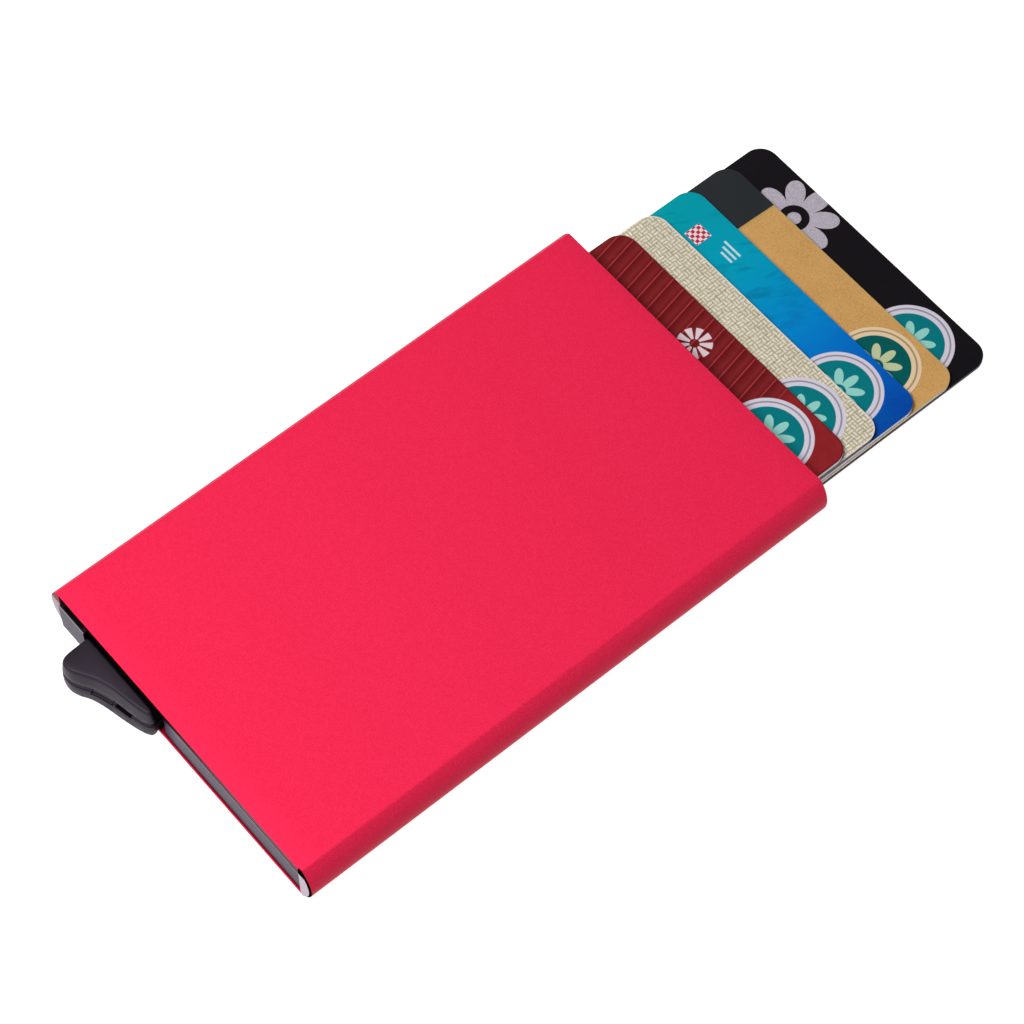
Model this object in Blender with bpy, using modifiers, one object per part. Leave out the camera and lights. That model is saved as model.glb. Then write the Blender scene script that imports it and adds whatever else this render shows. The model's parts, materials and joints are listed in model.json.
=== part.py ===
"""Pop-up card holder: an extruded case, a base insert with a stepped thumb lever, and five cards.

The frame has its origin at the middle of the case's back face. X runs across the case, Y from the
lever's end to the mouth that the cards leave by, and Z up through the stack. Lengths are in metres.
"""

import math

import bmesh
import bpy
import numpy as np
from mathutils import Matrix

# The cards
CARD_LENGTH = 0.0856
CARD_WIDTH = 0.05398
CARD_THICKNESS = 0.00076
CARD_CORNER = 0.00318
CARD_GAP = 0.00014
CARD_OFFSET = 0.00059
CARD_COLOURS = ("black", "gold", "teal", "beige", "red")
fan_shares = (1.0, 0.8106, 0.6025, 0.3918, 0.2192)

# The contact plate in each card
CHIP_LENGTH = 0.013
CHIP_WIDTH = 0.0118
CHIP_THICKNESS = 0.00018
CHIP_CORNER = 0.0015
CHIP_FROM_FOOT = 0.0159
CHIP_SIDE = 0.00309
CHIP_SINK = 0.00002
CHIP_UNDER = 0.00005
CHIP_ROUND = 0.0001
CARD_CORNER_STEPS = 10
CHIP_CORNER_STEPS = 4

# The extruded case
WALL = 0.0009
SIDE_WALL = 0.00067
SIDE_BULGE = 0.0019
CARD_PLAY = 0.0019
LEVER_FLOOR_GAP = 0.00025
HEADROOM = 0.00225
CAVITY_CORNER = 0.00025
MOUTH_RECESS = 0.00263
CUT_CHAMFER = 0.00022
SIDE_STEPS = 14
CAVITY_CORNER_STEPS = 3

# The lever
LEVER_SWING = 65.0
HUB_RADIUS = 0.0044
ARM_STEP = 0.0009
ARM_NOSE = 0.0016
ARM_SHOULDER = 0.002
ARM_ROOT = 0.017
ARM_END_GAP = 0.00109
PUSH_GAP = 0.0004
HOME_GAP = 0.0005
STEP_DRAFT = 0.00005
HALF_GAP = 0.0001
SEAM_BEVEL = 0.00015
EDGE_ROUND = 0.00022
CROWN_ROUND = 0.0004
CROWN_STEPS = 4
CARD_BED = 0.00015
NECK_DROP = 0.0013
NECK_LEAD = 0.00005
NECK_HUB_GAP = 0.00015
HUB_STEPS = 20
NOSE_STEPS = 8

# The fin that a thumb presses, as shares of its length along the case's end and of its stand out of it
FIN_LENGTH = 0.01745
FIN_STAND = 0.00635
FIN_BACK = 0.0001
FIN_ROOT = 0.002
fin_foot_shares = (
    (0.0, -0.036), (0.006, 0.342), (0.02, 0.72), (0.052, 0.9), (0.115, 0.98), (0.2, 1.0),
    (0.29, 0.925), (0.395, 0.76), (0.539, 0.635), (0.716, 0.52), (0.888, 0.385), (0.982, 0.262),
    (1.0, 0.153), (0.986, 0.043),
)
fin_seam_shares = (
    (0.0, -0.036), (0.004, 0.33), (0.013, 0.69), (0.045, 0.875), (0.105, 0.94), (0.2, 0.925),
    (0.298, 0.798), (0.39, 0.64), (0.527, 0.5), (0.705, 0.4), (0.865, 0.305), (0.951, 0.208),
    (0.971, 0.121), (0.963, 0.011),
)
fin_crown_shares = (
    (0.0, -0.036), (0.003, 0.31), (0.011, 0.615), (0.036, 0.795), (0.088, 0.87), (0.17, 0.825),
    (0.282, 0.635), (0.395, 0.475), (0.54, 0.355), (0.712, 0.272), (0.84, 0.198), (0.916, 0.128),
    (0.924, 0.045), (0.905, -0.045),
)
seam_share = 0.5
FIN_SPAN_STEPS = 5

# The latch tongue on the fin's seam, and the slot beside it
TONGUE_START = 0.0064
TONGUE_WIDTH = 0.0036
TONGUE_DROP = 0.0005
TONGUE_GAP = 0.00012
TONGUE_SINK = 0.00006
TONGUE_DEPTH = 0.0009
SLOT_START = 0.0105
SLOT_WIDTH = 0.0031
SLOT_HEIGHT = 0.0005

# The pin, and the torsion spring that brings the lever back
PIN_RADIUS = 0.001
PIN_HEAD_RADIUS = 0.002
PIN_HEAD_HEIGHT = 0.0006
PIN_FLOOR_GAP = 0.0002
PIN_ROUND = 0.00015
PIN_STEPS = 32
BORE_GAP = 0.0001
HEAD_GAP = 0.0002
HEAD_SEAT = 0.00015
SPRING_RADIUS = 0.0026
SPRING_WIRE = 0.00036
SPRING_TURNS = 2.5
SPRING_POINTS = 10
SPRING_ROOM = 0.00045
SPRING_SEAT = 0.00015
SPRING_LEG = 0.0054
LEVER_POCKET = 0.00145
ROOF_POCKET = 0.0013

# The base insert
RUN_GAP = 0.00035
BASE_GAP = 0.00015
BASE_WALL = 0.00208
BLOCK_WALL = 0.001
STOP_LEAD = 10.0
ROOF_GAP = 0.00035
ROOF_SETBACK = 0.0008
RISER = 0.0004
FRONT_TOP_GAP = 0.00015
FRONT_INSET = 0.00071
FRONT_BOW = 0.00048
FRONT_CHAMFER = 0.00015
LIP_PROUD = 0.00045
LIP_GAP = 0.0001
LIP_DROP = 0.00055
BLOCK_TOP_GAP = 0.001
BLOCK_LIP = 0.00038
FRONT_LIP = 0.0003
CORE_DEPTH = 0.002
CORE_WALL = 0.0009
CORE_BACK = 0.00015
FACE_STEPS = 12
SWEEP_STEPS = 6

# The soft pieces that hold and guide the cards
PAD_LENGTH = 0.005
PAD_WIDTH = 0.04
PAD_FROM_MOUTH = 0.00193
PAD_CARD_GAP = 0.0003
LOWER_PAD_GAP = 0.0001
PAD_ROUND = 0.0004
RAIL_THICKNESS = 0.00089
RAIL_WALL_GAP = 0.00012
RAIL_FLOOR_GAP = 0.0003
RAIL_FOOT_GAP = 0.0013
RAIL_MOUTH_GAP = 0.0084
RAIL_ROUND = 0.0001

# How far a tool runs past the face it cuts, how far joined shapes reach into each other, how near
# points are welded, and the angles past which an edge is shown sharp or is rounded
OVERRUN = 0.0005
OVERLAP = 0.00005
WELD = 0.000001
SHARP_ANGLE = 30.0
ROUNDED_ANGLE = 50.0

# Sizes that follow
CARD_COUNT = len(CARD_COLOURS)
CARD_PITCH = CARD_THICKNESS + CARD_GAP
ARM_BACK = HUB_RADIUS + ARM_STEP
INNER_HALF = CARD_WIDTH / 2 + CARD_PLAY
CREASE_HALF = INNER_HALF + SIDE_WALL
LEVER_BOTTOM = WALL + LEVER_FLOOR_GAP
LEVER_TOP = LEVER_BOTTOM + CARD_COUNT * CARD_PITCH
LEVER_SEAM = LEVER_BOTTOM + seam_share * (LEVER_TOP - LEVER_BOTTOM)
CAVITY_TOP = LEVER_TOP + HEADROOM
CASE_THICKNESS = CAVITY_TOP + WALL
PIVOT_FROM_END = HUB_RADIUS + RUN_GAP + BASE_WALL
CASE_LENGTH = PIVOT_FROM_END + ARM_BACK + HOME_GAP + CARD_LENGTH + MOUTH_RECESS
MOUTH_Y = CASE_LENGTH / 2
END_Y = -MOUTH_Y
STOP_RADIUS = (ARM_BACK + RUN_GAP) / math.cos(math.radians(STOP_LEAD))
PIVOT_X = -INNER_HALF + BASE_GAP + BLOCK_WALL + STOP_RADIUS
PIVOT_Y = END_Y + PIVOT_FROM_END
HOME_Y = PIVOT_Y + ARM_BACK + HOME_GAP
NOSE_UP = ARM_BACK - ARM_NOSE
SWING = math.radians(LEVER_SWING)
LONGEST_ARM = INNER_HALF - ARM_END_GAP - ARM_NOSE - PIVOT_X
POCKET_INNER = SPRING_RADIUS - SPRING_WIRE / 2 - SPRING_ROOM
POCKET_OUTER = SPRING_RADIUS + SPRING_WIRE / 2 + SPRING_ROOM
POCKET_FLOOR = LEVER_TOP - LEVER_POCKET
ROOF_BOTTOM = LEVER_TOP + ROOF_GAP
ROOF_TOP = CAVITY_TOP - BASE_GAP
POCKET_ROOF = ROOF_BOTTOM + ROOF_POCKET


def push_reach(arm):
    """How far above the pivot an arm's nose stands along Y with the lever pressed home."""
    return arm * math.sin(SWING) + NOSE_UP * math.cos(SWING) + ARM_NOSE


LONGEST_FOOT = PIVOT_Y + push_reach(LONGEST_ARM) + PUSH_GAP
LONGEST_STAND = LONGEST_FOOT + CARD_LENGTH - MOUTH_Y


def card_foot(layer):
    """The Y of a card's foot edge as the staircase stands."""
    return MOUTH_Y + fan_shares[layer] * LONGEST_STAND - CARD_LENGTH


def arm_length(layer):
    """The arm that pushes its card to that place: push_reach solved for the arm."""
    rise = card_foot(layer) - PUSH_GAP - PIVOT_Y
    return (rise - ARM_NOSE - NOSE_UP * math.cos(SWING)) / math.sin(SWING)


def card_bottom(layer):
    return LEVER_BOTTOM + CARD_BED + layer * CARD_PITCH


def clear_scene():
    for obj in list(bpy.data.objects):
        bpy.data.objects.remove(obj, do_unlink=True)


clear_scene()
holder = bpy.data.collections.new("pop_up_card_holder")
tools = bpy.data.collections.new("cutting_and_joining_shapes")
bpy.context.scene.collection.children.link(holder)
bpy.context.scene.collection.children.link(tools)


def material(name, colour, roughness, metallic=0.0):
    made = bpy.data.materials.new(name)
    made.use_nodes = True
    shader = made.node_tree.nodes["Principled BSDF"]
    shader.inputs["Base Color"].default_value = (*colour, 1.0)
    shader.inputs["Roughness"].default_value = roughness
    shader.inputs["Metallic"].default_value = metallic
    return made


RED_METAL = material("red_anodised_metal", (0.72, 0.02, 0.08), 0.35, 0.8)
GREY_PLASTIC = material("grey_plastic", (0.16, 0.15, 0.17), 0.5)
BLACK_PLASTIC = material("black_plastic", (0.03, 0.03, 0.032), 0.45)
STEEL = material("steel", (0.6, 0.6, 0.6), 0.3, 1.0)
FELT = material("dark_felt", (0.05, 0.05, 0.05), 0.9)
GOLD_CONTACTS = material("gold_contacts", (0.8, 0.6, 0.25), 0.3, 1.0)
CARD_MATERIALS = {
    "black": material("card_black", (0.02, 0.02, 0.022), 0.3),
    "gold": material("card_gold", (0.45, 0.32, 0.14), 0.4),
    "teal": material("card_teal", (0.04, 0.3, 0.4), 0.35),
    "beige": material("card_beige", (0.62, 0.5, 0.36), 0.45),
    "red": material("card_red", (0.2, 0.02, 0.03), 0.35),
}


def place(name, mesh, finish, parent=None):
    """Puts a mesh in the holder as a named piece, smooth over its round faces."""
    mesh.name = name
    piece = bpy.data.objects.new(name, mesh)
    piece.parent = parent
    mesh.materials.append(finish)
    holder.objects.link(piece)
    mesh.shade_smooth()
    mesh.set_sharp_from_angle(angle=math.radians(SHARP_ANGLE))
    return piece


def as_tool(name, mesh, parent=None):
    """Puts a mesh among the shapes that cut or join the pieces."""
    tool = bpy.data.objects.new(name, mesh)
    tool.parent = parent
    tool.hide_render = True
    tool.display_type = "WIRE"
    tools.objects.link(tool)
    return tool


def combine(piece, tool, operation):
    step = piece.modifiers.new(tool.name, "BOOLEAN")
    step.operation = operation
    step.solver = "EXACT"
    step.object = tool


def mesh_from_curve(curve, matrix):
    """The closed mesh of a filled or bevelled curve, with its caps welded on."""
    guide = bpy.data.objects.new("guide", curve)
    tools.objects.link(guide)
    bpy.context.view_layer.update()
    graph = bpy.context.evaluated_depsgraph_get()
    mesh = bpy.data.meshes.new_from_object(guide.evaluated_get(graph))
    bpy.data.objects.remove(guide, do_unlink=True)
    bpy.data.curves.remove(curve)
    shape = bmesh.new()
    shape.from_mesh(mesh)
    bmesh.ops.remove_doubles(shape, verts=shape.verts, dist=WELD)
    bmesh.ops.recalc_face_normals(shape, faces=shape.faces)
    shape.to_mesh(mesh)
    shape.free()
    mesh.transform(matrix)
    mesh.materials.clear()
    return mesh


def prism(outlines, low, high, upright=True):
    """Flat outlines made solid from low to high: along Z, or along Y when the outline stands in XZ."""
    curve = bpy.data.curves.new("outline", "CURVE")
    curve.dimensions = "2D"
    curve.fill_mode = "BOTH"
    curve.extrude = (high - low) / 2
    for outline in outlines:
        spline = curve.splines.new("POLY")
        spline.points.add(len(outline) - 1)
        for point, (x, y) in zip(spline.points, outline):
            point.co = (x, y, 0.0, 1.0)
        spline.use_cyclic_u = True
    middle = (low + high) / 2
    if upright:
        matrix = Matrix.Translation((0.0, 0.0, middle))
    else:
        matrix = Matrix.Translation((0.0, middle, 0.0)) @ Matrix.Rotation(math.pi / 2, 4, "X")
    return mesh_from_curve(curve, matrix)


def box(x_range, y_range, z_range):
    """A rectangular block between three pairs of limits."""
    sizes = [high - low for low, high in (x_range, y_range, z_range)]
    middles = [(high + low) / 2 for low, high in (x_range, y_range, z_range)]
    shape = bmesh.new()
    bmesh.ops.create_cube(shape, size=1.0, matrix=Matrix.LocRotScale(middles, None, sizes))
    mesh = bpy.data.meshes.new("block")
    shape.to_mesh(mesh)
    shape.free()
    return mesh


def cylinder(radius, low, high):
    shape = bmesh.new()
    bmesh.ops.create_cone(
        shape,
        cap_ends=True,
        segments=PIN_STEPS,
        radius1=radius,
        radius2=radius,
        depth=high - low,
        matrix=Matrix.Translation((0.0, 0.0, (low + high) / 2)),
    )
    mesh = bpy.data.meshes.new("cylinder")
    shape.to_mesh(mesh)
    shape.free()
    return mesh


def arc(centre, radius, start, end, steps):
    """Points on an arc, with angles in degrees and both ends included."""
    angles = np.radians(np.linspace(start, end, steps + 1))
    return [(centre[0] + radius * math.cos(a), centre[1] + radius * math.sin(a)) for a in angles]


def rounded_rectangle(x_range, y_range, corner, steps):
    (left, right), (low, high) = x_range, y_range
    corners = (
        ((right - corner, high - corner), 0.0),
        ((left + corner, high - corner), 90.0),
        ((left + corner, low + corner), 180.0),
        ((right - corner, low + corner), 270.0),
    )
    return [p for centre, start in corners for p in arc(centre, corner, start, start + 90.0, steps)]


def soften(piece, width, segments=2):
    """Rounds every edge sharper than the piece's own round faces."""
    step = piece.modifiers.new("rounded_edges", "BEVEL")
    step.width = width
    step.segments = segments
    step.limit_method = "ANGLE"
    step.angle_limit = math.radians(ROUNDED_ANGLE)


def make_case_shell():
    """The extrusion: flat top and bottom, D-shaped sides, and a square-sided channel right through."""
    half = CASE_THICKNESS / 2
    side_radius = (half**2 + SIDE_BULGE**2) / (2 * SIDE_BULGE)
    centre_x = CREASE_HALF + SIDE_BULGE - side_radius
    lean = math.degrees(math.asin(half / side_radius))
    right = arc((centre_x, half), side_radius, -lean, lean, SIDE_STEPS)
    left = [(-x, y) for x, y in reversed(right)]
    across = (-INNER_HALF, INNER_HALF)
    channel = rounded_rectangle(across, (WALL, CAVITY_TOP), CAVITY_CORNER, CAVITY_CORNER_STEPS)
    shell = place("case_shell", prism([right + left, channel], END_Y, MOUTH_Y, upright=False), RED_METAL)
    soften(shell, CUT_CHAMFER, segments=1)


pivot = bpy.data.objects.new("lever_axis", None)
pivot.location = (PIVOT_X, PIVOT_Y, 0.0)
holder.objects.link(pivot)


def smooth_outline(points, steps):
    """A Catmull-Rom curve through the points, with this many stretches between two of them."""
    known = np.array(points)
    padded = np.vstack([2 * known[0] - known[1], known, 2 * known[-1] - known[-2]])
    before, start, end, after = padded[:-3], padded[1:-2], padded[2:-1], padded[3:]
    rows = []
    for t in np.arange(steps) / steps:
        bend = 2 * before - 5 * start + 4 * end - after
        twist = 3 * start - before - 3 * end + after
        rows.append((2 * start + (end - before) * t + bend * t**2 + twist * t**3) / 2)
    curve = np.stack(rows, axis=1).reshape(-1, 2)
    return np.vstack([curve, known[-1]])


def fin_section(height_share, inset):
    """The fin's outline from the pivot at a height from 0 (bottom) to 1 (top), drawn in by an inset.

    The foot, seam and crown outlines are joined by a parabola through each trio of points.
    """
    t = height_share
    foot, seam, crown = (np.array(s) for s in (fin_foot_shares, fin_seam_shares, fin_crown_shares))
    shares = 2 * (t - 0.5) * (t - 1) * foot + 4 * t * (1 - t) * seam + 2 * t * (t - 0.5) * crown
    curve = smooth_outline(shares, FIN_SPAN_STEPS)
    x = curve[:, 0] * FIN_LENGTH - FIN_BACK
    y = -PIVOT_FROM_END - curve[:, 1] * FIN_STAND
    along = np.gradient(np.stack([x, y], axis=1), axis=0)
    normal = np.stack([-along[:, 1], along[:, 0]], axis=1) / np.linalg.norm(along, axis=1)[:, None]
    edge = np.stack([x, y], axis=1) + normal * inset
    root_right = (edge[-1, 0], -FIN_ROOT)
    root_left = (edge[0, 0], -FIN_ROOT)
    return np.vstack([edge, root_right, root_left])


def fin_loft(levels):
    """A solid through the fin's outlines at (height, inset) pairs, from the lowest up."""
    depth = LEVER_TOP - LEVER_BOTTOM
    rings = []
    for height, inset in levels:
        ring = fin_section((height - LEVER_BOTTOM) / depth, inset)
        rings.append([(x, y, height) for x, y in ring])
    count = len(rings[0])
    points = [p for ring in rings for p in ring]
    faces = [tuple(reversed(range(count)))]
    faces.append(tuple(range(len(points) - count, len(points))))
    for level in range(len(rings) - 1):
        low, high = level * count, (level + 1) * count
        for n in range(count):
            after = (n + 1) % count
            faces.append((low + n, low + after, high + after, high + n))
    mesh = bpy.data.meshes.new("fin")
    mesh.from_pydata(points, [], faces)
    shape = bmesh.new()
    shape.from_mesh(mesh)
    bmesh.ops.recalc_face_normals(shape, faces=shape.faces)
    shape.to_mesh(mesh)
    shape.free()
    return mesh


def arm_outline(layer):
    """One step of the staircase: the hub, the straight back that meets the cards, and a round nose.

    Each step is drawn in a little from the one below by the mould's draft.
    """
    inset = layer * STEP_DRAFT
    back = ARM_BACK - inset
    hub = HUB_RADIUS - inset
    nose = (arm_length(layer), back - ARM_NOSE)
    slope = (ARM_BACK - 2 * ARM_NOSE + HUB_RADIUS) / (LONGEST_ARM - ARM_ROOT)
    under = -hub + slope * max(nose[0] - ARM_ROOT, 0.0)
    tangent = math.degrees(math.atan2(back, ARM_SHOULDER) + math.acos(hub / math.hypot(back, ARM_SHOULDER)))
    outline = arc((0.0, 0.0), hub, tangent, 270.0, HUB_STEPS)
    if nose[0] > ARM_ROOT:
        outline.append((ARM_ROOT, -hub))
    outline += arc((nose[0], under + ARM_NOSE), ARM_NOSE, -90.0, 0.0, NOSE_STEPS)
    top_corner = arc(nose, ARM_NOSE, 0.0, 90.0, NOSE_STEPS)
    if nose[1] - under - ARM_NOSE < OVERLAP:
        top_corner = top_corner[1:]
    return outline + top_corner + [(ARM_SHOULDER, back)]


def layer_top(layer):
    return LEVER_BOTTOM + (layer + 1) * CARD_PITCH


def join_arms(half, layers, low, high):
    """Adds the arms of these layers to a half of the lever, each from inside the one below it."""
    for n, layer in enumerate(layers):
        bottom = low + (n + 1) * OVERLAP
        top = min(layer_top(layer), high - OVERLAP)
        arm = as_tool(f"{half.name}_arm_{layer}", prism([arm_outline(layer)], bottom, top), pivot)
        combine(half, arm, "UNION")


def seam_box(start, width, low, high, depth):
    """A block round the seam on the fin's outer side, from outside it to a depth behind its edge."""
    edge = -PIVOT_FROM_END - FIN_STAND
    curve = fin_section(seam_share, 0.0)
    near = np.interp([start, start + width], *sorted_edge(curve))
    inner = float(near.max()) + depth
    return box((start, start + width), (edge - OVERRUN, inner), (low, high))


def sorted_edge(curve):
    """The outer edge of the fin's outline as x in rising order with its y, for reading off a place."""
    outer = curve[np.argmin(curve[:, 1]) : -3]
    order = np.argsort(outer[:, 0])
    return outer[order, 0], outer[order, 1]


def make_lever():
    """Two moulded halves that meet on a seam: stepped arms inside the case and a fin outside it."""
    under_seam = LEVER_SEAM - HALF_GAP / 2
    over_seam = LEVER_SEAM + HALF_GAP / 2
    lower_levels = (
        (LEVER_BOTTOM, EDGE_ROUND),
        (LEVER_BOTTOM + EDGE_ROUND, 0.0),
        ((LEVER_BOTTOM + under_seam) / 2, 0.0),
        (under_seam - SEAM_BEVEL, 0.0),
        (under_seam, SEAM_BEVEL),
    )
    rise = LEVER_TOP - over_seam
    upper_levels = [
        (over_seam, SEAM_BEVEL),
        (over_seam + SEAM_BEVEL, 0.0),
        (over_seam + rise / 3, 0.0),
        (over_seam + rise * 2 / 3, 0.0),
    ]
    shoulder = arc((LEVER_TOP - CROWN_ROUND, CROWN_ROUND), CROWN_ROUND, -90.0, 0.0, CROWN_STEPS)
    upper_levels += shoulder
    lower = place("lever_lower", fin_loft(lower_levels), BLACK_PLASTIC, pivot)
    upper = place("lever_upper", fin_loft(upper_levels), BLACK_PLASTIC, pivot)
    middle_layer = CARD_COUNT // 2
    join_arms(lower, range(middle_layer + 1), LEVER_BOTTOM, under_seam)
    join_arms(upper, range(middle_layer, CARD_COUNT), over_seam, LEVER_TOP)

    notch_low = LEVER_SEAM - TONGUE_DROP
    notch = seam_box(TONGUE_START, TONGUE_WIDTH, notch_low, LEVER_SEAM + OVERRUN, TONGUE_DEPTH)
    combine(lower, as_tool("latch_notch", notch, pivot), "DIFFERENCE")
    slot_low = LEVER_SEAM - SLOT_HEIGHT
    slot = seam_box(SLOT_START, SLOT_WIDTH, slot_low, LEVER_SEAM + OVERRUN, TONGUE_DEPTH)
    combine(lower, as_tool("latch_slot", slot, pivot), "DIFFERENCE")

    tongue_top = over_seam + SEAM_BEVEL + EDGE_ROUND
    tongue_levels = ((notch_low + TONGUE_GAP, TONGUE_SINK), (tongue_top, TONGUE_SINK))
    tongue = as_tool("latch_tongue", fin_loft(tongue_levels), pivot)
    window = seam_box(
        TONGUE_START + TONGUE_GAP,
        TONGUE_WIDTH - 2 * TONGUE_GAP,
        notch_low - OVERRUN,
        tongue_top + OVERRUN,
        TONGUE_DEPTH - TONGUE_GAP,
    )
    combine(tongue, as_tool("latch_window", window, pivot), "INTERSECT")
    combine(upper, tongue, "UNION")

    bore_radius = PIN_RADIUS + BORE_GAP
    bore = as_tool("pin_bore", cylinder(bore_radius, -OVERRUN, CASE_THICKNESS), pivot)
    combine(lower, bore, "DIFFERENCE")
    combine(upper, bore, "DIFFERENCE")
    head_top = WALL + PIN_FLOOR_GAP + PIN_HEAD_HEIGHT + HEAD_SEAT
    head_room = cylinder(PIN_HEAD_RADIUS + HEAD_GAP, -OVERRUN, head_top)
    combine(lower, as_tool("pin_head_room", head_room, pivot), "DIFFERENCE")
    well = spring_pocket(POCKET_FLOOR, LEVER_TOP + OVERRUN)
    combine(upper, as_tool("lever_spring_pocket", well, pivot), "DIFFERENCE")
    leg_slot = spring_leg_slot(-SPRING_RADIUS, POCKET_FLOOR, LEVER_TOP + OVERRUN)
    combine(upper, as_tool("lever_leg_slot", leg_slot, pivot), "DIFFERENCE")
    neck = box(
        (-FIN_BACK - OVERRUN, FIN_LENGTH + OVERRUN),
        (-PIVOT_FROM_END - NECK_LEAD, -HUB_RADIUS - NECK_HUB_GAP),
        (LEVER_TOP - NECK_DROP, LEVER_TOP + OVERRUN),
    )
    combine(upper, as_tool("neck_step", neck, pivot), "DIFFERENCE")


def spring_pocket(low, high):
    """A ring-shaped pocket round the pin for the coil."""
    last = 360.0 - 360.0 / PIN_STEPS
    rings = [arc((0.0, 0.0), radius, 0.0, last, PIN_STEPS - 1) for radius in (POCKET_OUTER, POCKET_INNER)]
    return prism(rings, low, high)


def spring_leg_slot(side, low, high):
    half_width = SPRING_WIRE / 2 + SPRING_ROOM / 2
    return box((0.0, SPRING_LEG + SPRING_ROOM), (side - half_width, side + half_width), (low, high))


def make_return_spring():
    """A torsion spring: a coil round the pin with two straight legs, one in the lever, one in the roof."""
    low = POCKET_FLOOR + SPRING_SEAT + SPRING_WIRE / 2
    high = POCKET_ROOF - SPRING_SEAT - SPRING_WIRE / 2
    count = round(SPRING_TURNS * SPRING_POINTS)
    shares = np.arange(count + 1) / count
    angles = -math.pi / 2 - shares * SPRING_TURNS * 2 * math.pi
    coil = np.stack(
        [SPRING_RADIUS * np.cos(angles), SPRING_RADIUS * np.sin(angles), low + shares * (high - low)], axis=1
    )
    first_leg = (SPRING_LEG, coil[0, 1], low)
    last_leg = (SPRING_LEG, coil[-1, 1], high)
    path = np.vstack([first_leg, coil, last_leg])
    curve = bpy.data.curves.new("return_spring", "CURVE")
    curve.dimensions = "3D"
    curve.bevel_depth = SPRING_WIRE / 2
    curve.bevel_resolution = 1
    curve.use_fill_caps = True
    spline = curve.splines.new("POLY")
    spline.points.add(len(path) - 1)
    for point, place_on_path in zip(spline.points, path):
        point.co = (*place_on_path, 1.0)
    spring = place("return_spring", mesh_from_curve(curve, Matrix.Identity(4)), STEEL)
    spring.location = (PIVOT_X, PIVOT_Y, 0.0)
    print(f"return spring: gap between turns {(high - low) / SPRING_TURNS - SPRING_WIRE:.5f} m")


def make_pivot_pin():
    """A turned pin: its head sits in the lever's underside and its shank in the roof."""
    head_low = WALL + PIN_FLOOR_GAP
    head_high = head_low + PIN_HEAD_HEIGHT
    tip = ROOF_TOP - BASE_GAP
    profile = (
        (0.0, tip),
        (PIN_RADIUS - PIN_ROUND, tip),
        (PIN_RADIUS, tip - PIN_ROUND),
        (PIN_RADIUS, head_high),
        (PIN_HEAD_RADIUS - PIN_ROUND, head_high),
        (PIN_HEAD_RADIUS, head_high - PIN_ROUND),
        (PIN_HEAD_RADIUS, head_low + PIN_ROUND),
        (PIN_HEAD_RADIUS - PIN_ROUND, head_low),
        (0.0, head_low),
    )
    mesh = bpy.data.meshes.new("pivot_pin")
    edges = [(n, n + 1) for n in range(len(profile) - 1)]
    mesh.from_pydata([(x, 0.0, z) for x, z in profile], edges, [])
    pin = place("pivot_pin", mesh, STEEL)
    turn = pin.modifiers.new("turned", "SCREW")
    turn.steps = PIN_STEPS
    turn.render_steps = PIN_STEPS
    turn.use_merge_vertices = True
    turn.merge_threshold = WELD
    pin.location = (PIVOT_X, PIVOT_Y, 0.0)


def block_outline():
    """The end block in plan from the pivot, hollowed for the hub and slanted where the lever stops."""
    left = -INNER_HALF + BASE_GAP - PIVOT_X
    right = -FIN_BACK - RUN_GAP
    front = -PIVOT_FROM_END - LIP_GAP - OVERLAP
    back = HOME_Y - ROOF_SETBACK - OVERLAP - PIVOT_Y
    hollow = HUB_RADIUS + RUN_GAP
    first = 270.0 + math.degrees(math.asin(right / hollow))
    last = 90.0 + LEVER_SWING + STOP_LEAD
    stop_start = arc((0.0, 0.0), STOP_RADIUS, last, last, 0)[0]
    run = (back - stop_start[1]) / math.sin(SWING)
    stop_end = (stop_start[0] + run * math.cos(SWING), back)
    corners = [(left, front), (right, front)]
    return corners + arc((0.0, 0.0), hollow, first, last, HUB_STEPS) + [stop_start, stop_end, (left, back)]


def fin_sweep():
    """The radius round the pivot that the fin and its running gap sweep through."""
    swept = fin_section(0.0, 0.0)
    return float(np.hypot(swept[:, 0], swept[:, 1]).max()) + RUN_GAP


def front_face(trim, setback):
    """The front wall's bowed face in plan from the pivot, cut short at both ends and set back into it."""
    right = INNER_HALF - BASE_GAP - PIVOT_X
    straight_y = FRONT_INSET - PIVOT_FROM_END
    left = math.sqrt(fin_sweep() ** 2 - (straight_y - FRONT_BOW) ** 2)
    x = np.linspace(left + trim, right - trim, FACE_STEPS + 1)
    y = straight_y - FRONT_BOW * ((right - x) / (right - left)) ** 2 + setback
    return [(float(px), float(py)) for px, py in zip(x, y)]


def front_wall_outline():
    """The front wall in plan from the pivot: its face, and a left end that clears the fin's swing."""
    face = front_face(0.0, 0.0)
    sweep = fin_sweep()
    rear = -HUB_RADIUS - RUN_GAP
    first = math.degrees(math.asin(rear / sweep))
    last = math.degrees(math.asin(face[0][1] / sweep))
    return arc((0.0, 0.0), sweep, first, last, SWEEP_STEPS) + face[1:] + [(face[-1][0], rear)]


def front_core_outline(back):
    """The moulded pocket in the front wall's top, which leaves a thin lip along the face."""
    face = front_face(CORE_WALL, FRONT_LIP)
    return face + [(face[-1][0], back), (face[0][0], back)]


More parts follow.
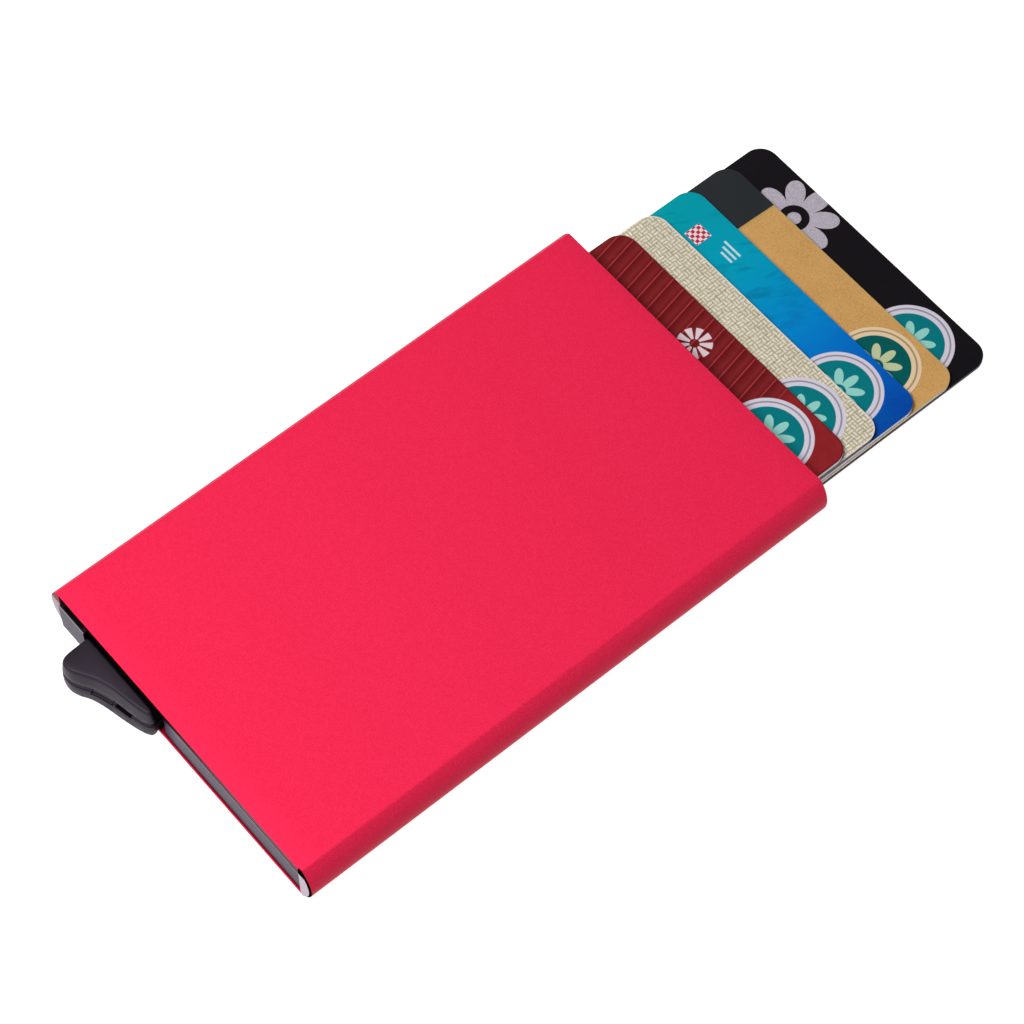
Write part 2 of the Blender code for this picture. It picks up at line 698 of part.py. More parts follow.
def make_base_frame():
    """One moulding: front wall, end block with its lip, and a roof that carries the pin and spring."""
    frame = bpy.data.objects.new("base_axis", None)
    frame.location = (PIVOT_X, PIVOT_Y, 0.0)
    holder.objects.link(frame)
    bottom = WALL + BASE_GAP
    left = -INNER_HALF + BASE_GAP - PIVOT_X
    right = INNER_HALF - BASE_GAP - PIVOT_X
    riser_front = -HUB_RADIUS - RUN_GAP - RISER
    back = HOME_Y - ROOF_SETBACK - PIVOT_Y
    roof = box((left, right), (riser_front, back), (ROOF_BOTTOM, ROOF_TOP))
    base = place("base_frame", roof, GREY_PLASTIC, frame)

    front_top = LEVER_TOP + FRONT_TOP_GAP
    wall = as_tool("front_wall", prism([front_wall_outline()], bottom, front_top), frame)
    soften(wall, FRONT_CHAMFER, segments=1)
    combine(base, wall, "UNION")
    riser_left = front_wall_outline()[0][0] + FRONT_CHAMFER
    riser = box(
        (riser_left, right - OVERLAP - FRONT_CHAMFER),
        (riser_front + OVERLAP, -HUB_RADIUS - RUN_GAP - OVERLAP - FRONT_CHAMFER),
        (front_top - OVERRUN, ROOF_BOTTOM + OVERRUN),
    )
    combine(base, as_tool("riser", riser, frame), "UNION")
    block_top = CAVITY_TOP - BASE_GAP - BLOCK_TOP_GAP
    combine(base, as_tool("end_block", prism([block_outline()], bottom, block_top), frame), "UNION")
    lip_front = -PIVOT_FROM_END - LIP_PROUD
    lip = box(
        (left + OVERLAP, -FIN_BACK - RUN_GAP - OVERLAP),
        (lip_front, -PIVOT_FROM_END - LIP_GAP),
        (WALL - LIP_DROP, block_top - OVERLAP),
    )
    combine(base, as_tool("end_lip", lip, frame), "UNION")

    core_back = riser_front - CORE_BACK
    front_core = prism([front_core_outline(core_back)], front_top - CORE_DEPTH, front_top + OVERRUN)
    combine(base, as_tool("front_wall_core", front_core, frame), "DIFFERENCE")
    block_core = box(
        (left + CORE_WALL, -FIN_BACK - RUN_GAP - CORE_WALL),
        (lip_front + BLOCK_LIP, core_back),
        (block_top - CORE_DEPTH, block_top + OVERRUN),
    )
    combine(base, as_tool("end_block_core", block_core, frame), "DIFFERENCE")

    hole = as_tool("roof_pin_hole", cylinder(PIN_RADIUS + BORE_GAP, -OVERRUN, CASE_THICKNESS), frame)
    combine(base, hole, "DIFFERENCE")
    pocket = as_tool("roof_spring_pocket", spring_pocket(LEVER_TOP, POCKET_ROOF), frame)
    combine(base, pocket, "DIFFERENCE")
    slot = as_tool("roof_leg_slot", spring_leg_slot(SPRING_RADIUS, LEVER_TOP, POCKET_ROOF), frame)
    combine(base, slot, "DIFFERENCE")


def make_friction_pads():
    """The soft strips above and under the stack, just inside the mouth, that keep the cards in."""
    stack_top = card_bottom(CARD_COUNT - 1) + CARD_THICKNESS
    far = MOUTH_Y - PAD_FROM_MOUTH
    heights = {
        "friction_pad_upper": (stack_top + PAD_CARD_GAP, CAVITY_TOP - BASE_GAP),
        "friction_pad_lower": (WALL + LOWER_PAD_GAP, card_bottom(0) - LOWER_PAD_GAP),
    }
    for name, (low, high) in heights.items():
        pad = place(name, box((-PAD_WIDTH / 2, PAD_WIDTH / 2), (far - PAD_LENGTH, far), (low, high)), FELT)
        soften(pad, min(PAD_ROUND, (high - low) / 3))


def make_side_rails():
    """The thin strips on the channel's side walls that the card edges run along."""
    outer = INNER_HALF - RAIL_WALL_GAP
    inner = outer - RAIL_THICKNESS
    along = (HOME_Y + RAIL_FOOT_GAP, MOUTH_Y - RAIL_MOUTH_GAP)
    height = (WALL + RAIL_FLOOR_GAP, CAVITY_TOP - RAIL_FLOOR_GAP)
    for side, across in (("left", (-outer, -inner)), ("right", (inner, outer))):
        rail = place(f"side_rail_{side}", box(across, along, height), FELT)
        soften(rail, RAIL_ROUND)


def make_cards():
    """Five cards in a staircase, each with its contact plate let into its face near its foot."""
    across = (-CARD_WIDTH / 2, CARD_WIDTH / 2)
    outline = rounded_rectangle(across, (0.0, CARD_LENGTH), CARD_CORNER, CARD_CORNER_STEPS)
    plate_x = (-CHIP_SIDE - CHIP_WIDTH / 2, -CHIP_SIDE + CHIP_WIDTH / 2)
    plate_y = (CHIP_FROM_FOOT - CHIP_LENGTH / 2, CHIP_FROM_FOOT + CHIP_LENGTH / 2)
    plate = rounded_rectangle(plate_x, plate_y, CHIP_CORNER, CHIP_CORNER_STEPS)
    pocket = rounded_rectangle(
        (plate_x[0] - CHIP_ROUND, plate_x[1] + CHIP_ROUND),
        (plate_y[0] - CHIP_ROUND, plate_y[1] + CHIP_ROUND),
        CHIP_CORNER + CHIP_ROUND,
        CHIP_CORNER_STEPS,
    )
    plate_top = CARD_THICKNESS - CHIP_SINK
    plate_bottom = plate_top - CHIP_THICKNESS
    for layer, colour in enumerate(CARD_COLOURS):
        card = place(f"card_{colour}", prism([outline], 0.0, CARD_THICKNESS), CARD_MATERIALS[colour])
        card.location = (CARD_OFFSET, card_foot(layer), card_bottom(layer))
        recess = prism([pocket], plate_bottom - CHIP_UNDER, CARD_THICKNESS + OVERRUN)
        combine(card, as_tool(f"chip_pocket_{colour}", recess, card), "DIFFERENCE")
        place(f"chip_{colour}", prism([plate], plate_bottom, plate_top), GOLD_CONTACTS, card)


make_case_shell()
make_lever()
make_return_spring()
make_pivot_pin()
make_base_frame()
make_friction_pads()
make_side_rails()
make_cards()
print(f"case {2 * (CREASE_HALF + SIDE_BULGE):.5f} x {CASE_LENGTH:.5f} x {CASE_THICKNESS:.5f} m")
print(f"pivot at {PIVOT_X:.5f}, {PIVOT_Y:.5f}; home foot {HOME_Y:.5f}")
for number, colour_name in enumerate(CARD_COLOURS):
    print(f"card_{colour_name}: foot {card_foot(number):.5f}, arm {arm_length(number):.5f}")
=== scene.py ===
# %% [markdown]
# # A pop-up card holder
#
# The holder is a length of red anodised aluminium extrusion. A black thumb lever in one end turns a
# stepped arm, which fans five payment cards out of the other end. The construction was modelled
# first and arrives here as a fixed frame. This lesson dresses it: it rebuilds the surfaces that need
# to be rounder or finer, and gives every surface a finish made of nodes. All lengths are in metres.

# %% Load the frame
import json
import math

import bmesh
import bpy
import numpy as np
from mathutils import Matrix, Vector


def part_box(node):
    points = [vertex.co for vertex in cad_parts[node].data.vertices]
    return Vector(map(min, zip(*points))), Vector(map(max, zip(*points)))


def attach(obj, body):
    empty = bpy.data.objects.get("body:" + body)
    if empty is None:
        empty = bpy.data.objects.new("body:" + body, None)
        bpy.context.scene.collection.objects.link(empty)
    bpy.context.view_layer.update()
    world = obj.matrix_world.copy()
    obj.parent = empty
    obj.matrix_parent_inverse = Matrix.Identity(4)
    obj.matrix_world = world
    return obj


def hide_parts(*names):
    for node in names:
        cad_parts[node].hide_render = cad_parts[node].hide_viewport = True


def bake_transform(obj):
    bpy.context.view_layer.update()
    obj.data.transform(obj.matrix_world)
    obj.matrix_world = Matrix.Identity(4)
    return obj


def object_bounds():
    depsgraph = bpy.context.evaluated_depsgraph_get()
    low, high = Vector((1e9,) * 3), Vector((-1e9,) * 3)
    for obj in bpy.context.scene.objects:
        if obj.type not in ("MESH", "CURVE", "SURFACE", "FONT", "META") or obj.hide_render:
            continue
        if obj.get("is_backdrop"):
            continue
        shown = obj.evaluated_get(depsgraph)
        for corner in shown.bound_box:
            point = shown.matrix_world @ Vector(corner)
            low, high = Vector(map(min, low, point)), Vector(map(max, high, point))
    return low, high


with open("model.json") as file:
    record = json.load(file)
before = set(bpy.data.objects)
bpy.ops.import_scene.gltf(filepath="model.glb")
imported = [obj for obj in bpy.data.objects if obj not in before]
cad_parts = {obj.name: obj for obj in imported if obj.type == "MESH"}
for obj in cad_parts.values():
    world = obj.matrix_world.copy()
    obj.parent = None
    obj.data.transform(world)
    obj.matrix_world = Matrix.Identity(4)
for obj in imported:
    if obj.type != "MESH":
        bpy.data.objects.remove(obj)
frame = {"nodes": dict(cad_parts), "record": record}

cad_bounds = [list(corner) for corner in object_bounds()]
MM = 0.001
print("nodes in the frame:", len(frame["nodes"]))

# %% [markdown]
# ## The camera
#
# The picture was taken from above the case's right side, a little towards the lever, with a long
# lens, so the case looks almost free of perspective. The place and the two directions below were
# found by fitting the edges of the cards, whose real size is known, to the picture. A camera looks
# along its own -Z, so its matrix has the picture's right, the picture's up and the way back to the
# photographer as columns.

# %% Place the camera
CAMERA_PLACE = Vector((0.20262, -0.15378, 0.46395))
PICTURE_RIGHT = Vector((0.64178, 0.76688, -0.00337))
PICTURE_UP = Vector((-0.66593, 0.55946, 0.4935))
LENS_MM = 121.52


def place_camera():
    """A camera whose matrix is built from its right, up and backward directions."""
    back = PICTURE_RIGHT.cross(PICTURE_UP).normalized()
    up = back.cross(PICTURE_RIGHT).normalized()
    camera_data = bpy.data.cameras.new("camera")
    camera_data.lens = LENS_MM
    camera_data.sensor_width = 36.0
    camera_data.clip_start = 0.01
    camera_data.clip_end = 10.0
    camera = bpy.data.objects.new("camera", camera_data)
    bpy.context.scene.collection.objects.link(camera)
    rotation = Matrix((PICTURE_RIGHT.normalized(), up, back)).transposed()
    camera.matrix_world = Matrix.Translation(CAMERA_PLACE) @ rotation.to_4x4()
    bpy.context.scene.camera = camera
    return camera


camera = place_camera()
bpy.context.scene.view_settings.view_transform = "Standard"
print("camera stands", round(camera.location.length, 3), "m from the case")

# %% [markdown]
# ## Making pieces
#
# New pieces are grids: arrays of points with one row for each step along the piece and one column
# for each step round it. Quads join neighbouring points. The pieces that keep the frame's shape are
# made from a copy of its mesh, welded, with its flat faces joined up again, so that only the real
# edges are left to be shaded sharp.

# %% Helpers for pieces
WELD = 0.001 * MM
FLAT = math.radians(0.4)


def finish_mesh(mesh, sharp_degrees):
    """Shades a mesh smooth apart from edges sharper than the angle."""
    mesh.shade_smooth()
    mesh.set_sharp_from_angle(angle=math.radians(sharp_degrees))


def add_piece(name, mesh, body, replaced=(), sharp_degrees=35):
    """Links a mesh as a named piece that rides on a body, if one is given, and stands for the nodes
    that it replaces."""
    finish_mesh(mesh, sharp_degrees)
    piece = bpy.data.objects.new(name, mesh)
    bpy.context.scene.collection.objects.link(piece)
    if body:
        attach(piece, body)
    if replaced:
        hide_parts(*replaced)
    return piece


def grid_faces(rows, columns, close_rows=False, close_columns=False):
    """The quads of a grid of rows by columns points, numbered row by row."""
    row = np.arange(rows if close_rows else rows - 1)
    column = np.arange(columns if close_columns else columns - 1)
    r, c = np.meshgrid(row, column, indexing="ij")
    r2, c2 = (r + 1) % rows, (c + 1) % columns
    quads = np.stack([r * columns + c, r * columns + c2, r2 * columns + c2, r2 * columns + c], axis=-1)
    return quads.reshape(-1, 4)


def welded_copy(node):
    """The frame's mesh for a node, with its triangles welded and its flat faces joined up again."""
    mesh = frame["nodes"][node].data.copy()
    mesh.materials.clear()
    shape = bmesh.new()
    shape.from_mesh(mesh)
    bmesh.ops.remove_doubles(shape, verts=shape.verts, dist=WELD)
    bmesh.ops.dissolve_limit(shape, angle_limit=FLAT, verts=shape.verts, edges=shape.edges)
    shape.to_mesh(mesh)
    shape.free()
    return mesh


print("points closer than", WELD / MM, "mm are welded")

# %% [markdown]
# ## Making finishes
#
# Each finish is a node tree. A small class keeps the recipes short: it adds a node, fills its
# inputs with numbers or with other nodes' outputs, and returns the output. Every pattern reads the
# piece's own object coordinates, which are metres in the frame, so a grain has a real size.

# %% A recipe for a node material
class Finish:
    """A Principled material whose node tree is written as a recipe."""

    def __init__(self, name, roughness=0.5, metallic=0.0):
        self.material = bpy.data.materials.new(name)
        self.material.use_nodes = True
        self.tree = self.material.node_tree
        self.shader = self.tree.nodes["Principled BSDF"]
        self.shader.inputs["Roughness"].default_value = roughness
        self.shader.inputs["Metallic"].default_value = metallic
        self.place = self.tree.nodes.new("ShaderNodeTexCoord").outputs["Object"]

    def feed(self, socket, value):
        """Links another node's output to an input, or writes a number or a colour into it."""
        if isinstance(value, bpy.types.NodeSocket):
            self.tree.links.new(value, socket)
        elif isinstance(value, tuple) and len(value) == 3 and socket.type == "RGBA":
            socket.default_value = (*value, 1.0)
        else:
            socket.default_value = value

    def add(self, kind, settings=(), **inputs):
        """The first output of a node whose inputs are filled by name or, as i0 or i1, by number."""
        node = self.tree.nodes.new(kind)
        for key, value in dict(settings).items():
            setattr(node, key, value)
        for key, value in inputs.items():
            by_number = key[0] == "i" and key[1:].isdigit()
            self.feed(node.inputs[int(key[1:]) if by_number else key], value)
        return node.outputs[0]

    def math(self, operation, first, second=0.0, third=0.0):
        """One step of arithmetic, under the name that the node has for it."""
        return self.add(
            "ShaderNodeMath", settings={"operation": operation}, i0=first, i1=second, i2=third
        )

    def times(self, first, *others):
        """The product of values: what lies in all of several masks."""
        for other in others:
            first = self.math("MULTIPLY", first, other)
        return first

    def most(self, first, *others):
        """The largest of values: what lies in any of several masks."""
        for other in others:
            first = self.math("MAXIMUM", first, other)
        return first

    def less(self, value, other):
        """A value less another."""
        return self.math("SUBTRACT", value, other)

    def rest(self, mask):
        """What a mask leaves: 1 less the mask."""
        return self.less(1.0, mask)

    def size(self, value):
        """A value without its sign."""
        return self.math("ABSOLUTE", value)

    def axis(self, name, place=None):
        """One coordinate of a place, such as X."""
        split = self.tree.nodes.new("ShaderNodeSeparateXYZ")
        self.tree.links.new(place or self.place, split.inputs[0])
        return split.outputs[name]

    def moved(self, centre=(0.0, 0.0, 0.0), turn=0.0, scale=(1.0, 1.0, 1.0)):
        """The place as seen from a pattern that is centred, turned about Z and scaled."""
        return self.add(
            "ShaderNodeMapping",
            settings={"vector_type": "TEXTURE"},
            Vector=self.place,
            Location=centre,
            Rotation=(0.0, 0.0, turn),
            Scale=scale,
        )

    def noise(self, size, detail=3.0, roughness=0.5, place=None):
        """Soft noise whose features are about this size."""
        return self.add(
            "ShaderNodeTexNoise",
            Vector=place or self.place,
            Scale=1.0 / size,
            Detail=detail,
            Roughness=roughness,
        )

    def steps(self, value, stops):
        """Colours along a value from 0 to 1, given as (position, colour) pairs."""
        node = self.tree.nodes.new("ShaderNodeValToRGB")
        self.feed(node.inputs[0], value)
        ramp = node.color_ramp
        while len(ramp.elements) < len(stops):
            ramp.elements.new(0.5)
        for element, (position, colour) in zip(ramp.elements, stops):
            element.position = position
            element.color = (*colour, 1.0)
        return node.outputs[0]

    def between(self, value, low, high, out_low=0.0, out_high=1.0):
        """Maps a value from one range to another, held at the ends."""
        return self.add(
            "ShaderNodeMapRange", i0=value, i1=low, i2=high, i3=out_low, i4=out_high
        )

    def spread(self, noise, out_low=0.0, out_high=1.0):
        """Noise, which seldom leaves the range from 0.3 to 0.7, spread over another range."""
        return self.between(noise, 0.3, 0.7, out_low, out_high)

    def mix(self, share, first, second):
        """A share of the second colour over the first."""
        node = self.tree.nodes.new("ShaderNodeMix")
        node.data_type = "RGBA"
        self.feed(node.inputs[0], share)
        self.feed(node.inputs[6], first)
        self.feed(node.inputs[7], second)
        return node.outputs[2]

    def bump(self, height, strength, distance):
        """Feeds the shader's normal with a bump that is this deep where the height is 1."""
        normal = self.add("ShaderNodeBump", Height=height, Strength=strength, Distance=distance)
        self.feed(self.shader.inputs["Normal"], normal)

    def set(self, **values):
        """Fills the shader's own inputs. A low line in a name stands for a space."""
        for key, value in values.items():
            self.feed(self.shader.inputs[key.replace("_", " ")], value)

    def on(self, *pieces):
        """Puts the finish on pieces, in place of what they had."""
        for piece in pieces:
            piece.data.materials.clear()
            piece.data.materials.append(self.material)


print("recipe steps:", ", ".join(name for name in vars(Finish) if not name.startswith("_")))

# %% [markdown]
# Colours are picked on a screen, which counts them from 0 to 255 along a curve. Shaders reckon in
# light, so each colour is brought back to even steps of light before it goes into a node.

# %% Turn screen colours into light
def paint(red, green, blue):
    """A colour as a screen counts it, from 0 to 255, in the linear values that shaders take."""
    share = np.array([red, green, blue]) / 255.0
    linear = np.where(share <= 0.04045, share / 12.92, ((share + 0.055) / 1.055) ** 2.4)
    return tuple(float(v) for v in linear)


print("the middle grey of a screen is", round(paint(128, 128, 128)[0], 3), "to a shader")

# %% [markdown]
# ## The floor and the light
#
# The picture has a pure white ground, and the faces that look up mirror something dark overhead, so
# the black card and the satin metal stay deep. The world is therefore white to camera rays, white
# near the horizon to the rays that gloss and glass send on, and dark above them. It gives the rest
# of the rays a low fill. The floor glows for camera rays and mirrored rays alone, so the ground stays
# white while the lamps stay at a plain level. The key lamp is broad and stands over the lever's end:
# the top is brighter there than at the mouth, and the rounded side that looks away from it is darker.
# A weak lamp, low beside that side, brings up the edges of the cards.

# %% Set the floor, the world and the lamps
FLOOR_SIZE = 3.0
FLOOR_DROP = 0.02 * MM
FLOOR_TONE = 0.42
FLOOR_GLOW = 0.95
WORLD_FILL = 0.15
OVERHEAD = 0.1
HORIZON_BAND = (0.05, 0.5)
LAMPS = {
    "key_lamp": {"place": (-0.08, -0.2, 0.47), "aim": (0.0, 0.0, 0.0), "size": 0.3, "power": 2.8},
    "edge_lamp": {"place": (0.3, 0.1, 0.07), "aim": (0.0, 0.03, 0.0), "size": 0.2, "power": 0.09},
}


def light_rays(tree):
    """Two shares: 1 for camera rays, and 1 for glossy and transmission rays."""
    path = tree.nodes.new("ShaderNodeLightPath")
    mirrored = tree.nodes.new("ShaderNodeMath")
    mirrored.operation = "MAXIMUM"
    tree.links.new(path.outputs["Is Glossy Ray"], mirrored.inputs[0])
    tree.links.new(path.outputs["Is Transmission Ray"], mirrored.inputs[1])
    return path.outputs["Is Camera Ray"], mirrored.outputs[0]


def blend_number(tree, share, first, second):
    """A number that moves from the first value to the second as the share goes from 0 to 1."""
    node = tree.nodes.new("ShaderNodeMapRange")
    for socket, value in ((0, share), (3, first), (4, second)):
        if isinstance(value, bpy.types.NodeSocket):
            tree.links.new(value, node.inputs[socket])
        else:
            node.inputs[socket].default_value = value
    return node.outputs[0]


def set_world():
    """White to the camera; to mirrored rays, white at the horizon and falling with height."""
    world = bpy.data.worlds.new("studio")
    world.use_nodes = True
    bpy.context.scene.world = world
    tree = world.node_tree
    background = tree.nodes["Background"]
    background.inputs["Color"].default_value = (1.0, 1.0, 1.0, 1.0)
    direction = tree.nodes.new("ShaderNodeTexCoord")
    split = tree.nodes.new("ShaderNodeSeparateXYZ")
    tree.links.new(direction.outputs["Generated"], split.inputs[0])
    sky = tree.nodes.new("ShaderNodeMapRange")
    tree.links.new(split.outputs["Z"], sky.inputs[0])
    for socket, value in zip((1, 2, 3, 4), (*HORIZON_BAND, 1.0, OVERHEAD)):
        sky.inputs[socket].default_value = value
    camera_ray, mirrored_ray = light_rays(tree)
    strength = blend_number(tree, mirrored_ray, WORLD_FILL, sky.outputs[0])
    strength = blend_number(tree, camera_ray, strength, 1.0)
    tree.links.new(strength, background.inputs["Strength"])


def set_floor():
    """A grey sheet whose own glow lifts it to white, for camera rays and mirrored rays alone."""
    half = FLOOR_SIZE / 2
    corners = [(-half, -half), (half, -half), (half, half), (-half, half)]
    mesh = bpy.data.meshes.new("floor")
    mesh.from_pydata([(x, y, -FLOOR_DROP) for x, y in corners], [], [(0, 1, 2, 3)])
    floor = bpy.data.objects.new("floor", mesh)
    bpy.context.scene.collection.objects.link(floor)
    finish = Finish("white_floor", roughness=0.9)
    finish.set(Base_Color=(FLOOR_TONE, FLOOR_TONE, FLOOR_TONE), Specular_IOR_Level=0.0)
    glow = finish.times(finish.most(*light_rays(finish.tree)), FLOOR_GLOW)
    finish.set(Emission_Color=(1.0, 1.0, 1.0), Emission_Strength=glow)
    finish.on(floor)
    floor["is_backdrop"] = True


def add_lamp(name, place, aim, size, power):
    """A square area lamp that faces a point."""
    data = bpy.data.lights.new(name, "AREA")
    data.shape = "SQUARE"
    data.size = size
    data.energy = power
    lamp = bpy.data.objects.new(name, data)
    bpy.context.scene.collection.objects.link(lamp)
    lamp.location = place
    lamp.rotation_euler = (Vector(aim) - Vector(place)).to_track_quat("-Z", "Y").to_euler()


set_world()
set_floor()
for name, lamp in LAMPS.items():
    add_lamp(name, **lamp)
print("lamps:", ", ".join(LAMPS), "and a world fill of", WORLD_FILL)

# %% [markdown]
# ## The case
#
# The real case is a length of extruded aluminium: a flat top and bottom, D-shaped sides, and a
# square channel right through, so every slice across it is the same. That makes it a profile carried
# along Y. One quarter of the outline is worked out from arcs and mirrored twice. The outline outside
# and the channel inside have the same number of points, so rows of them can run along the outside,
# turn in over the cut end, come back through the channel and close on themselves like a ring.

# %% Work out the outlines of the case
case_low, case_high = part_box("case_shell")
THICKNESS = case_high.z
MIDDLE = THICKNESS / 2
END_Y, MOUTH_Y = case_low.y, case_high.y
WALL = 0.9 * MM
SIDE_WALL = 0.67 * MM
SIDE_BULGE = 1.9 * MM
CHANNEL_HALF = case_high.x - SIDE_BULGE - SIDE_WALL
CREASE_ROUND = 0.7 * MM
CHANNEL_CORNER = 0.25 * MM
SMALL_INSET = 0.1 * MM
SIDE_STEPS, CORNER_STEPS, FLAT_STEPS, LENGTH_STEPS = 20, 8, 16, 24


def arc(centre, radius, start, end, steps):
    """Points of an arc from one angle to another: the centre plus the radius along each angle."""
    angles = np.linspace(start, end, steps + 1)
    return np.stack([centre[0] + radius * np.cos(angles), centre[1] + radius * np.sin(angles)], axis=1)


def outer_quarter(inset):
    """The D-shaped side and half of the top, drawn in by an inset.

    The side is an arc through the two creases, found from its height and its bulge. A smaller arc
    rounds the crease: it touches the top, so its centre is its radius below the top, and it touches
    the side from within, so the two centres lie the difference of the radii apart.
    """
    side_radius = (MIDDLE**2 + SIDE_BULGE**2) / (2 * SIDE_BULGE)
    side_x = case_high.x - side_radius
    rise = THICKNESS - CREASE_ROUND - MIDDLE
    run = math.sqrt((side_radius - CREASE_ROUND) ** 2 - rise**2)
    turn = math.atan2(rise, run)
    side = arc((side_x, MIDDLE), side_radius - inset, 0.0, turn, SIDE_STEPS)
    crease = arc((side_x + run, MIDDLE + rise), CREASE_ROUND - inset, turn, math.pi / 2, CORNER_STEPS)
    return join_quarter(side, crease)


def channel_quarter(outset):
    """The square side and half of the ceiling of the channel, drawn out by an outset."""
    right = CHANNEL_HALF + outset
    top = THICKNESS - WALL + outset
    corner = CHANNEL_CORNER + outset
    heights = np.linspace(MIDDLE, top - corner, SIDE_STEPS + 1)
    side = np.column_stack([np.full(len(heights), right), heights])
    return join_quarter(side, arc((right - corner, top - corner), corner, 0.0, math.pi / 2, CORNER_STEPS))


def join_quarter(side, corner):
    """A side, a corner, and the straight run from the corner to the middle of the top."""
    run = np.linspace(corner[-1], (0.0, corner[-1][1]), FLAT_STEPS + 1)
    return np.vstack([side, corner[1:], run[1:]])


def whole_loop(quarter):
    """Mirrors a quarter loop to the left, and the upper half that results to the bottom."""
    upper = np.vstack([quarter, quarter[-2::-1] * (-1.0, 1.0)])
    lower = upper[-2:0:-1].copy()
    lower[:, 1] = THICKNESS - lower[:, 1]
    return np.vstack([upper, lower])


def loop_and_drift(quarter):
    """A quarter's whole loop, and the way each of its points goes for each metre of inset: the
    difference that a small inset makes, over that inset."""
    loop = whole_loop(quarter(0.0))
    return loop, (whole_loop(quarter(SMALL_INSET)) - loop) / SMALL_INSET


outer_loop, outer_inward = loop_and_drift(outer_quarter)
channel_loop, channel_outward = loop_and_drift(channel_quarter)
print("points round the case:", len(outer_loop))

# %% [markdown]
# The cut ends were rounded over a little, as 1 - cos and 1 - sin of a quarter turn draw it: the
# outline is drawn in more and more on its way to the end face. At the lever's end the left side is
# rounded a third as much, and the right side has a real chamfer. Each point of the outline has a
# weight, 1 on the right side and 0 on the flats, and its row is the rounding and the chamfer mixed by
# that weight, so one runs out into the other.

# %% Carry the outlines along the case
END_ROUND = 0.2 * MM
CHANNEL_ROUND = 0.09 * MM
CHAMFER_IN = 0.4 * MM
CHAMFER_DEEP = 0.28 * MM
LEFT_LESS = 2 / 3
rounding_turns = np.linspace(0.0, math.pi / 2, 5)
rounding = np.stack([1 - np.cos(rounding_turns), 1 - np.sin(rounding_turns)], axis=1)
chamfer_shares = np.array([(0.0, 1.0), (0.04, 0.86), (0.5, 0.45), (0.93, 0.03), (1.0, 0.0)])


def volume_of(points, faces):
    """The space that faces enclose: a sixth of the triple product of each triangle's corners, summed."""
    first = points[faces[:, 0]]
    total = 0.0
    for n in range(1, faces.shape[1] - 1):
        total += np.einsum("ij,ij->i", first, np.cross(points[faces[:, n]], points[faces[:, n + 1]])).sum()
    return total / 6


def solid_mesh(name, points, faces, caps=()):
    """A closed mesh of quads and flat caps, turned so that its faces look outwards."""
    points = np.asarray(points, float)
    quads = faces
    total = volume_of(points, quads) + sum(volume_of(points, np.array([cap])) for cap in caps)
    if total < 0:
        quads = quads[:, ::-1]
        caps = [cap[::-1] for cap in caps]
    mesh = bpy.data.meshes.new(name)
    mesh.from_pydata(points.tolist(), [], quads.tolist() + [list(map(int, cap)) for cap in caps])
    print(f"{name}: {len(points)} points, {abs(total) * 1e9:.1f} cubic mm")
    return mesh


def side_weight():
    """1 on the right D-shaped side, falling to 0 over its crease: the share of X in the outline's
    normal, counted from the top, where it is 0, to the crease's foot. The left side keeps 0."""
    sideways = -outer_inward[:, 0]
    foot = sideways[SIDE_STEPS]
    return np.clip(sideways / foot, 0.0, 1.0) ** 2


def left_round():
    """The rounding's radius: the plain one on the flats, and a third of it on the left side."""
    sideways = outer_inward[:, 0]
    share = np.clip(sideways / sideways.max(), 0.0, 1.0)
    return (END_ROUND * (1 - share * LEFT_LESS))[:, None]


def end_rows(loop, inward, radius, y, into, weight=0.0):
    """The rows over a cut end from the plain outline to the end face, which lies at y."""
    weight = np.broadcast_to(np.asarray(weight, float), len(loop))[:, None]
    rows = []
    for (round_in, round_deep), (share_in, share_deep) in zip(rounding, chamfer_shares):
        inset = (1 - weight) * radius * round_in + weight * CHAMFER_IN * share_in
        depth = (1 - weight) * radius * round_deep + weight * CHAMFER_DEEP * share_deep
        flat = loop + inward * inset
        rows.append(np.column_stack([flat[:, 0], y + into * depth[:, 0], flat[:, 1]]))
    return rows


def plain_rows(loop, margin):
    """Rows of the plain outline between the two ends."""
    along = np.linspace(END_Y + margin, MOUTH_Y - margin, LENGTH_STEPS + 1)[1:-1]
    return [np.column_stack([loop[:, 0], np.full(len(loop), y), loop[:, 1]]) for y in along]


def make_case_skin():
    """Rows along the outside, over the mouth, back through the channel and over the lever's end."""
    outside = end_rows(outer_loop, outer_inward, left_round(), END_Y, 1, side_weight())[::-1]
    outside += plain_rows(outer_loop, 2 * CHAMFER_DEEP)
    outside += end_rows(outer_loop, outer_inward, END_ROUND, MOUTH_Y, -1)
    inside = end_rows(channel_loop, channel_outward, CHANNEL_ROUND, MOUTH_Y, -1)[::-1]
    inside += plain_rows(channel_loop, 2 * CHAMFER_DEEP)[::-1]
    inside += end_rows(channel_loop, channel_outward, CHANNEL_ROUND, END_Y, 1)
    rows = outside + inside
    faces = grid_faces(len(rows), len(outer_loop), close_rows=True, close_columns=True)
    mesh = solid_mesh("case_skin", np.vstack(rows), faces)
    return add_piece("case_skin", mesh, "case", ["case_shell"], sharp_degrees=30)


case_skin = make_case_skin()
